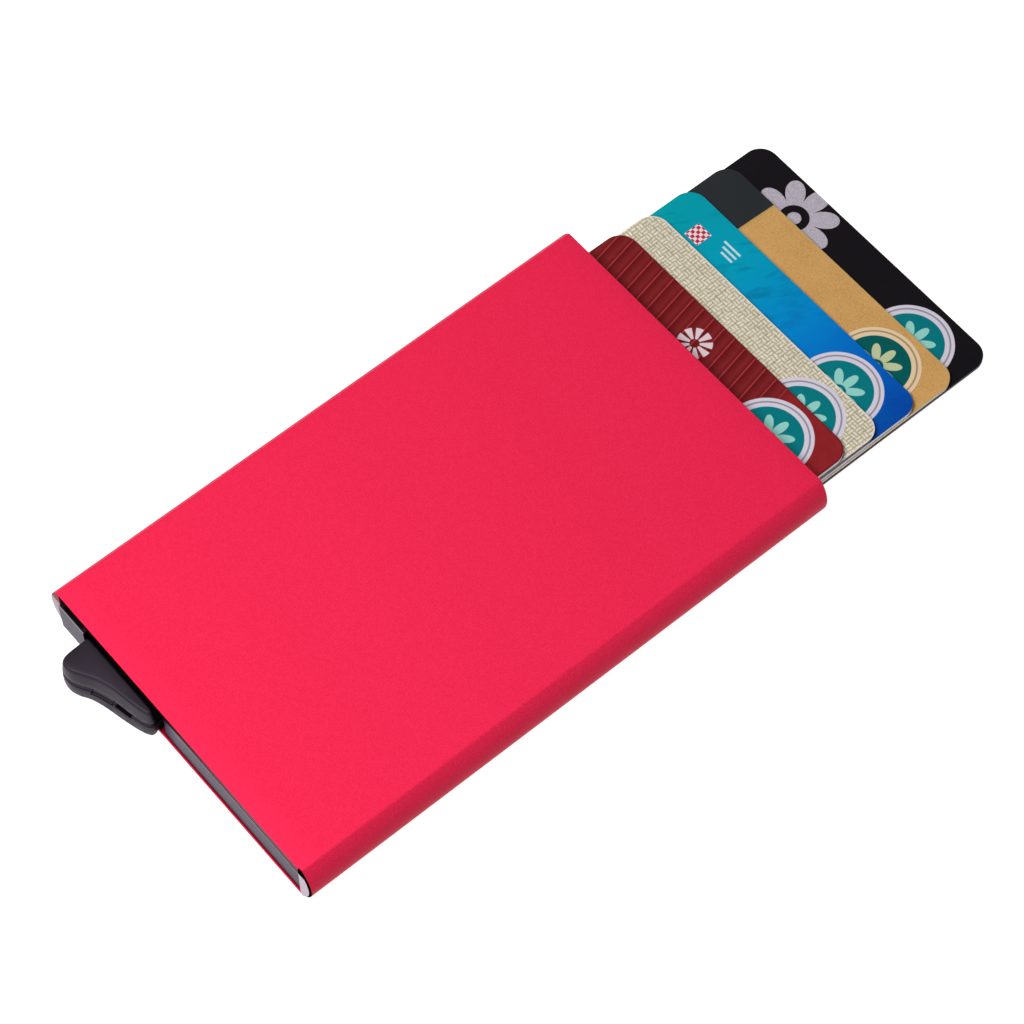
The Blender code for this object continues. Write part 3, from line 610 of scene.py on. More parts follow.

# %% [markdown]
# Anodised aluminium is bead-blasted first, dyed in a bath and sealed. What shows is a satin metal
# with a fine, even speckle. The dye covers most of the metal's own mirror, so the finish is only
# part metallic. Noise of two sizes moves the colour and the roughness, and the finer one the bump. The
# D-shaped sides were milled at the lever's end after the dyeing, so a crescent of bare metal shows
# there; the left one is painted darker than the right, as painted shade. On the right the crescent
# lies inside a chamfer painted black as painted shade, which fades towards the bottom. The saw cut
# over the lever is painted near black as painted shade, paler towards the right, and a dull red at
# the left corner. The channel is painted darker than the outside, as painted shade. Masks read the
# piece's own coordinates to find those places.

# %% Find the places on the case
EDGE_SOFT = 0.03 * MM
BARE_TOP = THICKNESS - 1.35 * MM
BARE_FROM = CHANNEL_HALF + 0.02 * MM
BARE_DEEP_LEFT, BARE_DEEP_RIGHT = 0.12 * MM, 0.04 * MM
BARE_LOWER_LEFT = 1.1 * MM
FACE_SOFT = 0.01 * MM
# The chamfer's painted shade fades out towards the bottom over this height.
CHAMFER_SHADE_FADE = (0.4 * MM, 1.8 * MM)
# The saw cut's painted shade goes from black on the left to paler on the right over this span.
CUT_SHADE_FADE = (-4 * MM, 16 * MM)


def case_places(finish):
    """Masks of the case's places: each is a product of ramps along X, Y and Z."""
    x, y, z = (finish.axis(name) for name in "XYZ")
    deep = finish.less(y, END_Y)
    beside = finish.between(finish.size(x), BARE_FROM - EDGE_SOFT, BARE_FROM + EDGE_SOFT)
    right = finish.between(x, 0.0, EDGE_SOFT)
    above_floor = finish.between(z, WALL - EDGE_SOFT, WALL)
    under_roof = finish.between(z, THICKNESS - WALL + EDGE_SOFT, THICKNESS - WALL)
    on_end = finish.between(deep, END_ROUND * 0.6, END_ROUND * 0.3)
    over_lever = finish.times(on_end, finish.between(z, MIDDLE - EDGE_SOFT, MIDDLE + EDGE_SOFT))
    left_side = finish.times(beside, finish.rest(right))
    on_chamfer = finish.between(deep, CHAMFER_DEEP + EDGE_SOFT, CHAMFER_DEEP)
    bare_deep = finish.between(x, 0.0, EDGE_SOFT, BARE_DEEP_LEFT, BARE_DEEP_RIGHT)
    on_face = finish.between(finish.less(bare_deep, deep), 0.0, FACE_SOFT)
    level = finish.math("ADD", z, finish.between(x, EDGE_SOFT, 0.0, 0.0, BARE_LOWER_LEFT))
    under_top = finish.between(level, BARE_TOP + EDGE_SOFT, BARE_TOP - EDGE_SOFT)
    towards_right = finish.between(x, *CUT_SHADE_FADE)
    towards_left = finish.between(x, *reversed(CUT_SHADE_FADE))
    return {
        "right": right,
        "left_side": left_side,
        "channel": finish.times(finish.rest(beside), above_floor, under_roof),
        "over_lever": over_lever,
        "saw_shade_pale": towards_right,
        "saw_shade_black": finish.times(over_lever, towards_left, finish.rest(left_side)),
        "chamfer": finish.times(beside, on_chamfer, right, finish.between(z, *CHAMFER_SHADE_FADE)),
        "bare": finish.times(on_face, under_top, beside),
    }


print("bare metal reaches up to", round(BARE_TOP / MM, 2), "mm on the right side")

# %% [markdown]
# The finish then lays colours over one another, from the dye to the bare metal. The metal comes last,
# because the cutter went through everything else.

# %% Finish the case
GRAIN = 0.2 * MM
MOTTLE = 0.65 * MM
GRAIN_SHARE = 0.82
SPECK_BAND = (0.36, 0.64)
SATIN = (0.44, 0.54)
DYE = (paint(231, 35, 72), paint(247, 48, 88))
# The channel's darker red is painted shade.
CHANNEL_SHADE = paint(112, 14, 30)
# The saw cut's colours over the lever are painted shade: near black, paler, and a dull red at the left
# corner.
SAW_CUT_SHADE = (paint(8, 3, 5), paint(120, 80, 94))
SAW_CUT_SHADE_LEFT = paint(150, 64, 72)
# The chamfer's black is painted shade.
CHAMFER_SHADE = paint(10, 4, 6)
# The left bare metal is painted darker than the right, as painted shade.
LEFT_METAL_SHADED = (paint(154, 145, 153), paint(178, 168, 171))
RIGHT_METAL = (paint(184, 175, 190), paint(210, 200, 208))
# The second mirror tint is near black, for the painted shade.
RED_MIRROR, SHADE_MIRROR, METAL_MIRROR = paint(200, 60, 90), paint(30, 20, 24), paint(205, 196, 200)


def finish_red_metal():
    """Dye with a speckle, a share of one noise and the rest of another, and over it the colour of
    each other place, among them the painted shade of the channel, the saw cut and the chamfer. The
    bare metal mirrors more; the chamfer and the black of the saw cut are metallic with a near-black
    colour and tint, so they reflect little, as painted shade. The chamfer is rougher, and the bare
    metal smoother."""
    finish = Finish("red_anodised_metal")
    grain = finish.noise(GRAIN, detail=2.0, roughness=0.6)
    mottle = finish.noise(MOTTLE, detail=2.0, roughness=0.6)
    speck = finish.math("MULTIPLY_ADD", grain, GRAIN_SHARE, finish.times(mottle, 1 - GRAIN_SHARE))
    places = case_places(finish)
    chamfer, bare = places["chamfer"], places["bare"]

    dye_and_shade = finish.mix(finish.between(speck, *SPECK_BAND), *DYE)
    # Painted shade: the channel's inside is darker.
    dye_and_shade = finish.mix(places["channel"], dye_and_shade, CHANNEL_SHADE)
    # Painted shade on the saw cut over the lever.
    saw_cut_shade = finish.mix(places["left_side"], finish.mix(places["saw_shade_pale"], *SAW_CUT_SHADE), SAW_CUT_SHADE_LEFT)
    dye_and_shade = finish.mix(places["over_lever"], dye_and_shade, saw_cut_shade)
    milled = finish.noise(0.25 * MM, detail=3.0, place=finish.moved(scale=(1.0, 1.0, 4.0)))
    # The left crescent's metal is painted darker than the right's, as painted shade.
    metal = finish.mix(places["right"], finish.mix(milled, *LEFT_METAL_SHADED), finish.mix(milled, *RIGHT_METAL))
    colour = finish.mix(bare, finish.mix(chamfer, dye_and_shade, CHAMFER_SHADE), metal)

    rough = finish.between(speck, *SPECK_BAND, *SATIN)
    rough = finish.math("MULTIPLY_ADD", chamfer, 0.4, finish.math("MULTIPLY_ADD", bare, -0.4, rough))
    # The chamfer and the black of the saw cut are metallic with a near-black colour and tint, so they
    # reflect little: painted shade.
    mirror_or_shade = finish.most(chamfer, bare, places["saw_shade_black"])
    metallic = finish.math("MULTIPLY_ADD", mirror_or_shade, 0.8, 0.15)
    tint = finish.mix(bare, finish.mix(mirror_or_shade, RED_MIRROR, SHADE_MIRROR), METAL_MIRROR)
    finish.set(Base_Color=colour, Roughness=rough, Metallic=metallic, Specular_IOR_Level=0.12)
    finish.set(Specular_Tint=tint)
    finish.bump(grain, 0.2, 0.02 * MM)
    return finish


red_metal = finish_red_metal()
red_metal.on(case_skin)
print("case finished in", red_metal.material.name)

# %% [markdown]
# ## The insert
#
# The lever turns inside a dark moulding that fills the case's end. A welded copy of the frame's
# shape stands for it. In the picture its front face keeps an even distance from the case's end,
# while the frame's is drawn in a little towards the right, so the face and the thin lip behind it
# slide out to an even inset. Moulded plastic has a fine spark-eroded texture: a soft bump and an
# uneven roughness. Behind the front face the insert is painted near black as the shade of the case's
# top, as is the wall's end beside the lever. The top edge of the face has a pale painted highlight.

# %% Dress the insert
FRONT_INSET = 0.28 * MM
WALL_INSET, WALL_BOW = 0.71 * MM, 0.48 * MM
WALL_LEFT, WALL_RIGHT = -3.7 * MM, 28.74 * MM
WALL_BACK = END_Y + 1.1 * MM
WALL_TOP, BLOCK_TOP, BLOCK_PROUD = 5.8 * MM, 6.7 * MM, 0.45 * MM
BETWEEN_THEM = -10 * MM
PALE_EDGE = 0.13 * MM
BY_LEVER = 3 * MM
CLOUD_GRAINS = 25
CLOUD_TONE = 0.82
ROUGH_SWING = 0.06
INSERT_GREY = paint(56, 47, 68)
# The pale top edge of the face is a painted highlight.
EDGE_HIGHLIGHT = paint(150, 136, 142)
INSERT_SHADE = paint(9, 7, 9)


def bring_front_out(mesh):
    """Moves the front wall's face along Y: its inset falls from the one at the right end by the
    bow times the square of the share of the way to the left, and each point moves by what its inset
    exceeds the even one."""
    points = np.empty(len(mesh.vertices) * 3)
    mesh.vertices.foreach_get("co", points)
    points = points.reshape(-1, 3)
    share = (WALL_RIGHT - points[:, 0]) / (WALL_RIGHT - WALL_LEFT)
    extra = WALL_INSET - WALL_BOW * share**2 - FRONT_INSET
    face = (points[:, 0] > WALL_LEFT) & (points[:, 1] < WALL_BACK) & (points[:, 2] < WALL_TOP + WELD)
    points[face, 1] -= extra[face]
    mesh.vertices.foreach_set("co", points.ravel())
    mesh.update()
    print("front wall points moved:", int(face.sum()))
    return mesh


def moulded_plastic(name, colour, roughness, texture, depth):
    """Plastic with a spark-eroded texture of this size and depth, and its colour for more masks."""
    finish = Finish(name)
    grain = finish.noise(texture, detail=3.0)
    cloud = finish.noise(texture * CLOUD_GRAINS, detail=2.0)
    tone = finish.mix(finish.spread(cloud), tuple(v * CLOUD_TONE for v in colour), colour)
    finish.set(Roughness=finish.spread(grain, roughness - ROUGH_SWING, roughness + ROUGH_SWING))
    finish.bump(grain, 0.3, depth)
    return finish, tone


def finish_insert():
    """Plastic with painted shade behind a pale painted highlight on the top edge of its face, and
    beside the lever. The top and the face lie elsewhere on the block, left of the lever, than on the
    wall, right of it."""
    finish, tone = moulded_plastic("insert_plastic", INSERT_GREY, 0.45, 0.12 * MM, 0.004 * MM)
    x, y, z = (finish.axis(name) for name in "XYZ")
    is_wall = finish.between(x, BETWEEN_THEM, BETWEEN_THEM + EDGE_SOFT)
    top = finish.math("MULTIPLY_ADD", is_wall, WALL_TOP - BLOCK_TOP, BLOCK_TOP)
    face = finish.math("MULTIPLY_ADD", is_wall, FRONT_INSET + BLOCK_PROUD, END_Y - BLOCK_PROUD)
    # A painted highlight on the face's top edge, and painted shade behind the face and by the lever.
    high = finish.between(finish.less(z, top), -PALE_EDGE, -PALE_EDGE * 0.6)
    behind = finish.between(finish.less(y, face), PALE_EDGE, PALE_EDGE * 1.3)
    edge = finish.times(high, finish.rest(behind))
    by_lever = finish.times(is_wall, finish.between(x, WALL_LEFT + BY_LEVER, WALL_LEFT))
    tone = finish.mix(edge, tone, EDGE_HIGHLIGHT)
    tone = finish.mix(by_lever, tone, INSERT_SHADE)
    finish.set(Base_Color=finish.mix(behind, tone, INSERT_SHADE), Metallic=finish.times(by_lever, 0.8))
    finish.set(Specular_IOR_Level=0.2, Specular_Tint=paint(208, 192, 230))
    return finish


insert_mesh = bring_front_out(welded_copy("base_frame"))
insert = add_piece("base_insert", insert_mesh, "case", ["base_frame"], sharp_degrees=30)
finish_insert().on(insert)
print("insert:", len(insert.data.polygons), "faces")

# %% [markdown]
# ## The lever
#
# The lever is two black mouldings that snap together on a seam. Both halves are welded copies of
# the frame's shapes, so the steps that push the cards stay exact. Light doesn't reach into the seam,
# the slot of the latch, the groove round its tongue or the neck that goes into the case, so masks
# counted from the pivot make those places black. The sides shine more than the faces that look up,
# so the gloss falls as the surface turns up.

# %% Dress the lever
joints = {joint["name"]: joint for joint in frame["record"]["behaviour"]["joints"]}
PIVOT = joints["lever_turn"]["pos_m"]
SEAM_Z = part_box("lever_upper")[0].z
SEAM_HALF = 0.07 * MM
LATCH_LOW = 0.5 * MM
SLOT_LOW = 0.35 * MM
TONGUE_X = (6.4 * MM, 10.0 * MM)
SLOT_X = (10.5 * MM, 13.6 * MM)
RING = 0.2 * MM
NECK_FADE = (END_Y - 0.35 * MM, END_Y - 0.05 * MM)
SLOPE_BAND = (0.5, 0.95)
GLOSS_SIDE, GLOSS_TOP = 0.62, 0.32
LEVER_BLACK = paint(32, 25, 33)
LEVER_SHADE = paint(7, 5, 7)


def finish_lever():
    """Black plastic, blacker where no light gets in, whose gloss falls as the normal's Z rises."""
    finish, tone = moulded_plastic("lever_plastic", LEVER_BLACK, 0.5, 0.1 * MM, 0.008 * MM)
    x = finish.less(finish.axis("X"), PIVOT[0])
    z = finish.less(finish.axis("Z"), SEAM_Z)

    def window(across, depth, grown):
        """A mask of a window in the fin's side, from the seam down, grown on every side."""
        middle, half = (across[0] + across[1]) / 2, (across[1] - across[0]) / 2 + grown
        level, tall = -depth / 2, depth / 2 + grown
        in_x = finish.between(finish.size(finish.less(x, middle)), half + EDGE_SOFT, half)
        in_z = finish.between(finish.size(finish.less(z, level)), tall + EDGE_SOFT, tall)
        return finish.times(in_x, in_z)

    seam = finish.between(finish.size(z), SEAM_HALF + EDGE_SOFT, SEAM_HALF)
    ring = finish.less(window(TONGUE_X, LATCH_LOW, RING / 2), window(TONGUE_X, LATCH_LOW, -RING / 2))
    slot = window(SLOT_X, SLOT_LOW, 0.0)
    neck = finish.between(finish.axis("Y"), *NECK_FADE)
    shade = finish.most(seam, ring, slot, neck)
    slope = finish.axis("Z", finish.tree.nodes.new("ShaderNodeNewGeometry").outputs["Normal"])
    gloss = finish.between(slope, *SLOPE_BAND, GLOSS_SIDE, GLOSS_TOP)
    finish.set(Base_Color=finish.mix(shade, tone, LEVER_SHADE), Metallic=finish.times(shade, 0.9))
    finish.set(Specular_IOR_Level=gloss, Specular_Tint=paint(222, 205, 232))
    return finish


black_plastic = finish_lever()
for half in ("lever_lower", "lever_upper"):
    moulding = welded_copy(half)
    piece = add_piece(half + "_moulding", moulding, "lever", [half], sharp_degrees=32)
    black_plastic.on(piece)
    print(piece.name, len(piece.data.polygons), "faces")

# %% [markdown]
# ## The pin and the spring
#
# The lever turns on a steel pin with a low head. The pin is a profile turned round an axis: each
# row of points is one radius and height, each column one angle.

# %% Turn the pin
PIN_STEPS = 48
PIN_EDGE = 0.15 * MM
PIN_RADIUS = 1.0 * MM
PIN_HEAD = 0.6 * MM
pin_low, pin_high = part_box("pivot_pin")


def end_caps(rows, columns):
    """The two flat ends of a grid that is closed round: its first row backwards and its last row, so
    that both wind as the quads do."""
    last = (rows - 1) * columns
    return [np.arange(columns)[::-1], np.arange(last, last + columns)]


def make_pin():
    """A turned surface: the profile's radius along each angle, at the profile's height."""
    head, shank = (pin_high.x - pin_low.x) / 2, PIN_RADIUS
    under_head = pin_low.z + PIN_HEAD
    profile = np.array([
        (head - PIN_EDGE, pin_low.z), (head, pin_low.z + PIN_EDGE), (head, under_head - PIN_EDGE),
        (head - PIN_EDGE, under_head), (shank, under_head), (shank, pin_high.z - PIN_EDGE),
        (shank - PIN_EDGE, pin_high.z),
    ])
    angles = np.arange(PIN_STEPS) * 2 * math.pi / PIN_STEPS
    x = PIVOT[0] + profile[:, :1] * np.cos(angles)
    y = PIVOT[1] + profile[:, :1] * np.sin(angles)
    z = np.repeat(profile[:, 1:], PIN_STEPS, axis=1)
    points = np.stack([x, y, z], axis=-1).reshape(-1, 3)
    faces = grid_faces(len(profile), PIN_STEPS, close_columns=True)
    mesh = solid_mesh("turned_pin", points, faces, end_caps(len(profile), PIN_STEPS))
    return add_piece("turned_pin", mesh, "case", ["pivot_pin"])


turned_pin = make_pin()

# %% [markdown]
# The spring that brings the lever back is a tube along a path: two straight legs and a coil between
# them. One leg sits in the lever and one in the insert. The spring itself rides on no body.

# %% Wind the spring
SPRING_RADIUS = 2.6 * MM
SPRING_WIRE = 0.36 * MM
SPRING_TURNS = 2.5
SPRING_LEG = 5.4 * MM
COIL_STEPS = 36
LEG_STEPS = 8
WIRE_SIDES = 12
spring_low, spring_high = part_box("return_spring")


def tube(path, radius, sides):
    """Rings round a path that stays near level: one arm of each ring is Z crossed with the path's
    direction, the other is square to both."""
    along = np.gradient(path, axis=0)
    along /= np.linalg.norm(along, axis=1)[:, None]
    across = np.cross((0.0, 0.0, 1.0), along)
    across /= np.linalg.norm(across, axis=1)[:, None]
    up = np.cross(along, across)
    angles = np.arange(sides) * 2 * math.pi / sides
    rings = path[:, None] + radius * (
        across[:, None] * np.cos(angles)[None, :, None] + up[:, None] * np.sin(angles)[None, :, None]
    )
    faces = grid_faces(len(path), sides, close_columns=True)
    return rings.reshape(-1, 3), faces, end_caps(len(path), sides)


def make_spring():
    """A leg, then a coil whose angle falls and whose height rises evenly, then the other leg."""
    low, high = spring_low.z + SPRING_WIRE / 2, spring_high.z - SPRING_WIRE / 2
    share = np.linspace(0.0, 1.0, round(SPRING_TURNS * COIL_STEPS) + 1)
    angle = -math.pi / 2 - share * SPRING_TURNS * 2 * math.pi
    height = low + share * (high - low)
    coil = np.column_stack([SPRING_RADIUS * np.cos(angle), SPRING_RADIUS * np.sin(angle), height])
    reach = np.linspace(SPRING_LEG, 0.0, LEG_STEPS + 1)[:-1]
    first = np.column_stack([reach, np.full(LEG_STEPS, coil[0, 1]), np.full(LEG_STEPS, low)])
    last = np.column_stack([reach[::-1], np.full(LEG_STEPS, coil[-1, 1]), np.full(LEG_STEPS, high)])
    path = np.vstack([first, coil, last]) + (PIVOT[0], PIVOT[1], 0.0)
    mesh = solid_mesh("wound_spring", *tube(path, SPRING_WIRE / 2, WIRE_SIDES))
    spring = add_piece("wound_spring", mesh, None, ["return_spring"])
    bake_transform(spring)
    return spring


wound_spring = make_spring()

# %% [markdown]
# Bright steel has fine scratches. Noise that is squeezed along Z draws them level, round the pin.

# %% Finish the steel
def finish_steel():
    """Bright metal whose scratches move its colour, its roughness and its bump."""
    finish = Finish("drawn_steel", metallic=1.0)
    scratch = finish.noise(0.4 * MM, detail=3.0, place=finish.moved(scale=(1.0, 1.0, 0.08)))
    finish.set(
        Base_Color=finish.mix(scratch, paint(170, 170, 172), paint(205, 205, 208)),
        Roughness=finish.spread(scratch, 0.22, 0.36),
    )
    finish.bump(scratch, 0.2, 0.004 * MM)
    return finish


steel = finish_steel()
steel.on(turned_pin, wound_spring)
print("pin and spring finished in", steel.material.name)

# %% [markdown]
# ## Slabs
#
# The cards, their contact plates and the felt strips are all thin slabs with a rounded outline and
# rounded edges. One function makes them: it takes an outline that can be drawn in by an inset, and
# rows of inset and height that lead from the middle of the top, over the edge, to the bottom. A card
# gets two rows more at the start, which sink a pocket for its contact plate.

# %% A slab with a rounded outline
OUTLINE_STEPS = 14


def rounded_loop(low, high, corner, inset=0.0):
    """A rectangle with round corners, drawn in by an inset: four quarter arcs joined by straight runs."""
    reach = corner - inset
    quarter = math.pi / 2
    left, right, front, back = low[0] + corner, high[0] - corner, low[1] + corner, high[1] - corner
    centres = ((right, back), (left, back), (left, front), (right, front))
    corners = [
        arc(centre, reach, n * quarter, (n + 1) * quarter, OUTLINE_STEPS)
        for n, centre in enumerate(centres)
    ]
    return np.vstack(corners)


def edge_profile(bottom, top, radius, steps=3):
    """Rows of inset and height over a rounded edge from the top face to the bottom face."""
    turn = np.linspace(0.0, math.pi / 2, steps + 1)
    upper = [(radius * (1 - math.sin(a)), top - radius * (1 - math.cos(a))) for a in turn]
    lower = [(inset, bottom + top - z) for inset, z in reversed(upper)]
    return upper + lower


def slab_rows(low, high, corner, profile):
    """One loop of points for each row of the profile."""
    loops = []
    for inset, z in profile:
        loop = rounded_loop(low, high, corner, inset)
        loops.append(np.column_stack([loop, np.full(len(loop), z)]))
    return loops


def slab_mesh(name, loops):
    """Joins loops into rows of quads and closes the first and the last with a flat cap."""
    count = len(loops[0])
    faces = grid_faces(len(loops), count, close_columns=True)
    return solid_mesh(name, np.vstack(loops), faces, end_caps(len(loops), count))


print("points round a slab:", len(rounded_loop((0.0, 0.0), (1.0, 1.0), 0.1)))

# %% [markdown]
# ## The cards
#
# A payment card is 85.60 by 53.98 by 0.76 mm with corners of 3.18 mm. It is a sandwich: a white or
# dyed core, a printed sheet on each face, and a clear glossy film over the print. The frame fixes
# where each of them stands. The edge is rounded by 0.06 mm, as a punched card's is.

# %% Make the cards and their contact plates
CARD_COLOURS = ("black", "gold", "teal", "beige", "red")
CARD_CORNER = 3.18 * MM
CARD_EDGE = 0.06 * MM
CHIP_CORNER = 1.5 * MM
CHIP_EDGE = 0.04 * MM
CHIP_SEAT = 0.1 * MM
CHIP_BED = 0.05 * MM


def make_card(colour):
    """A slab whose top starts with the pocket for the contact plate."""
    low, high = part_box("card_" + colour)
    plate_low, plate_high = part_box("chip_" + colour)
    seat = Vector((CHIP_SEAT, CHIP_SEAT, 0.0))
    pocket = rounded_loop(plate_low - seat, plate_high + seat, CHIP_CORNER + CHIP_SEAT)
    bed_z = plate_low.z - CHIP_BED
    loops = [np.column_stack([pocket, np.full(len(pocket), z)]) for z in (bed_z, high.z)]
    loops += slab_rows(low, high, CARD_CORNER, edge_profile(low.z, high.z, CARD_EDGE))
    node = "card_" + colour
    mesh = slab_mesh(colour + "_card_skin", loops)
    return add_piece(mesh.name, mesh, colour + "_card", [node], sharp_degrees=60)


def make_chip(colour):
    """A slab that fills the contact plate's box."""
    node = "chip_" + colour
    low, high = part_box(node)
    loops = slab_rows(low, high, CHIP_CORNER, edge_profile(low.z, high.z, CHIP_EDGE))
    mesh = slab_mesh(colour + "_contacts", loops)
    return add_piece(mesh.name, mesh, colour + "_card", [node], sharp_degrees=60)


cards = {colour: make_card(colour) for colour in CARD_COLOURS}
chips = {colour: make_chip(colour) for colour in CARD_COLOURS}
print("cards and contact plates:", len(cards) + len(chips))

# %% [markdown]
# ## The prints
#
# Each print is drawn by nodes on the card's own plane. The place is first measured in millimetres
# from the middle of the card's far edge, so the same recipe fits every card. Shapes are masks: a
# distance is compared with a size, and a narrow ramp between the two keeps the edge smooth. All
# five designs are plain geometry and carry no words, names or signs.

# %% Shapes for the prints
SOFT = 0.06
CARD_HALF = 26.99
RIM_WIDTH, RIM_SOFT = 0.22, 0.1


def card_place(finish, colour):
    """The place on a card in millimetres, from the middle of its far edge and from its back."""
    low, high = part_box("card_" + colour)
    centre = ((low.x + high.x) / 2, high.y, low.z)
    return finish.moved(centre, scale=(MM, MM, MM))


def inside(finish, distance, size, soft=SOFT):
    """A mask that is 1 where the distance is less than the size."""
    if isinstance(size, (int, float)):
        return finish.between(distance, size + soft / 2, size - soft / 2)
    return finish.between(finish.less(size, distance), -soft / 2, soft / 2)


def offset(finish, place, x, y):
    """The two coordinates of a place counted from a point."""
    return finish.less(finish.axis("X", place), x), finish.less(finish.axis("Y", place), y)


def length(finish, x, y):
    """The root of the sum of two squares."""
    return finish.math("SQRT", finish.math("ADD", *(finish.math("POWER", side, 2.0) for side in (x, y))))


def polar(finish, place, x, y):
    """A place's distance from a point, and the angle that it lies at as seen from there."""
    across, along = offset(finish, place, x, y)
    return length(finish, across, along), finish.math("ARCTAN2", along, across)


def rim_mask(finish, place):
    """A mask of the card's rim. How far a place lies inside the outline is, in a corner, the corner's
    radius less the distance to its centre, and elsewhere the distance to the nearer edge."""
    corner = CARD_CORNER / MM
    over_x = finish.less(finish.size(finish.axis("X", place)), CARD_HALF - corner)
    over_y = finish.math("ADD", finish.axis("Y", place), corner)
    reach = length(finish, finish.most(over_x, 0.0), finish.most(over_y, 0.0))
    return inside(finish, finish.less(corner, reach), RIM_WIDTH, RIM_SOFT)


def rosette(finish, place, x, y, radius, colours):
    """A round seal: a pale rim with a fine line in it, a disc, and a daisy of eight petals, whose
    edge goes out and in with the size of the cosine of four times the angle."""
    rim, line, disc, petal = colours
    distance, angle = polar(finish, place, x, y)
    wave = finish.size(finish.math("COSINE", finish.times(angle, 4.0)))
    petal_edge = finish.math("MULTIPLY_ADD", wave, radius * 0.38, radius * 0.2)
    return (
        (inside(finish, distance, radius), rim),
        (inside(finish, distance, radius * 0.92), line),
        (inside(finish, distance, radius * 0.88), rim),
        (inside(finish, distance, radius * 0.78), disc),
        (inside(finish, distance, petal_edge), petal),
        (inside(finish, distance, radius * 0.17), disc),
        (inside(finish, distance, radius * 0.1), petal),
    )


def sunburst(finish, place, x, y, rays, inner, outer):
    """A mask of rays round a point: it is 1 between two distances, where the cosine of the angle
    times the number of rays is high."""
    distance, angle = polar(finish, place, x, y)
    wave = finish.math("COSINE", finish.times(angle, float(rays)))
    near, far = finish.between(distance, inner, inner + SOFT), inside(finish, distance, outer)
    return finish.times(far, near, finish.between(wave, -0.5, -0.35))


def flower(finish, place, x, y, petals, radius):
    """A mask of broad petals round a dark core with a dot in it: the petals' edge lies at 0.38 of the
    radius plus 0.62 of it times the root of the size of the cosine of half the petals' angle."""
    distance, angle = polar(finish, place, x, y)
    wave = finish.size(finish.math("COSINE", finish.times(angle, petals / 2)))
    edge = finish.math("MULTIPLY_ADD", finish.math("SQRT", wave), radius * 0.62, radius * 0.38)
    outside_core = finish.between(distance, radius * 0.34, radius * 0.34 + SOFT)
    petal = finish.times(inside(finish, distance, edge), outside_core)
    return finish.most(petal, inside(finish, distance, radius * 0.16))


def block(finish, place, x, y, half_x, half_y):
    """A mask of a rectangle: the product of one across and one along."""
    across, along = (finish.size(side) for side in offset(finish, place, x, y))
    return finish.times(inside(finish, across, half_x), inside(finish, along, half_y))


def layered(finish, ground, layers):
    """Lays masked colours over a ground, one after another."""
    for mask, colour in layers:
        ground = finish.mix(mask, ground, colour)
    return ground


print("print shapes: rim, seal, sunburst, flower, block")

# %% [markdown]
# A card's edge shows its layers: the film and print at each face, and the core between. On the back
# are the dark magnetic stripe, which runs along one side, and a pale panel with fine ruled lines.

# %% Put a print on a card
FACE_LAYER = 0.7
BACK_LAYER = 0.06
BEYOND_CORE = 0.02
FILM_ROUGHNESS = 0.35
FILM_GLOSS = 0.15
CORE_TONE = 0.92
STRIPE_X, STRIPE_HALF = 16.6, 6.35
STRIPE_BLACK = paint(30, 26, 26)
PANEL = {"x": 2.0, "y": -34.0, "half_x": 4.5, "half_y": 28.0}
PANEL_PALE, PANEL_RULE = paint(222, 220, 212), paint(196, 200, 198)


def card_back(finish, place, back):
    """The back's colour, with the stripe and a panel whose lines are the peaks of a sine of x + y."""
    x, y = (finish.axis(name, place) for name in "XY")
    stripe = inside(finish, finish.size(finish.less(x, STRIPE_X)), STRIPE_HALF)
    ruled = finish.math("SINE", finish.times(finish.math("ADD", x, y), 6.0))
    panel_tone = finish.mix(finish.between(ruled, 0.6, 0.9), PANEL_PALE, PANEL_RULE)
    panel = block(finish, place, **PANEL)
    return layered(finish, back, [(stripe, STRIPE_BLACK), (panel, panel_tone)])


def finish_card(colour, print_of, core, back, rim=None):
    """Builds a card's finish: its print on the face, its core on the edge and its stripe behind. The
    edge's gloss rises with the core's own lightness, so that a black core stays black."""
    finish = Finish(colour + "_card_print", roughness=FILM_ROUGHNESS)
    place = card_place(finish, colour)
    face = print_of(finish, place)
    if rim:
        face = finish.mix(rim_mask(finish, place), face, rim)
    fibre = finish.noise(0.3 * MM, place=finish.moved(scale=(1.0, 1.0, 0.2)))
    core_tone = finish.mix(fibre, tuple(v * CORE_TONE for v in core), core)
    z = finish.axis("Z", place)
    is_face = finish.between(z, FACE_LAYER - BEYOND_CORE, FACE_LAYER)
    is_back = finish.between(z, BACK_LAYER + BEYOND_CORE, BACK_LAYER)
    sheets = [(is_face, face), (is_back, card_back(finish, place, back))]
    on_edge = finish.rest(finish.most(is_face, is_back))
    gloss = finish.math("MULTIPLY_ADD", on_edge, 0.6 * max(core) - 0.1, FILM_GLOSS)
    finish.set(Base_Color=layered(finish, core_tone, sheets), Specular_IOR_Level=gloss)
    finish.bump(finish.noise(1.6 * MM, detail=1.0), 0.06, 0.02 * MM)
    finish.on(cards[colour])


print("a card's stripe is", 2 * STRIPE_HALF, "mm wide")

# %% [markdown]
# Each of the five prints is a ground with shapes laid over it and the seal on top, which every card
# carries near its far corner. Places and sizes are in millimetres from the middle of the far edge.

# %% Draw the five prints
SILVER_SEAL = (paint(218, 212, 226), paint(150, 144, 160), paint(4, 122, 130), paint(150, 214, 204))
GOLD_SEAL = (paint(232, 208, 172), paint(176, 140, 96), paint(2, 92, 90), paint(196, 206, 160))
SEAL = {"x": 16.9, "y": -8.3, "radius": 7.2}
FIELD_EDGE, FIELD_SLANT, FIELD_LINE = -16.1, -0.03, 0.35
CHEQUER_CELL = 0.62
CANE_CELL = 1.15
PLEAT_SLANT, PLEAT_WIDTH = 0.212, 2.43


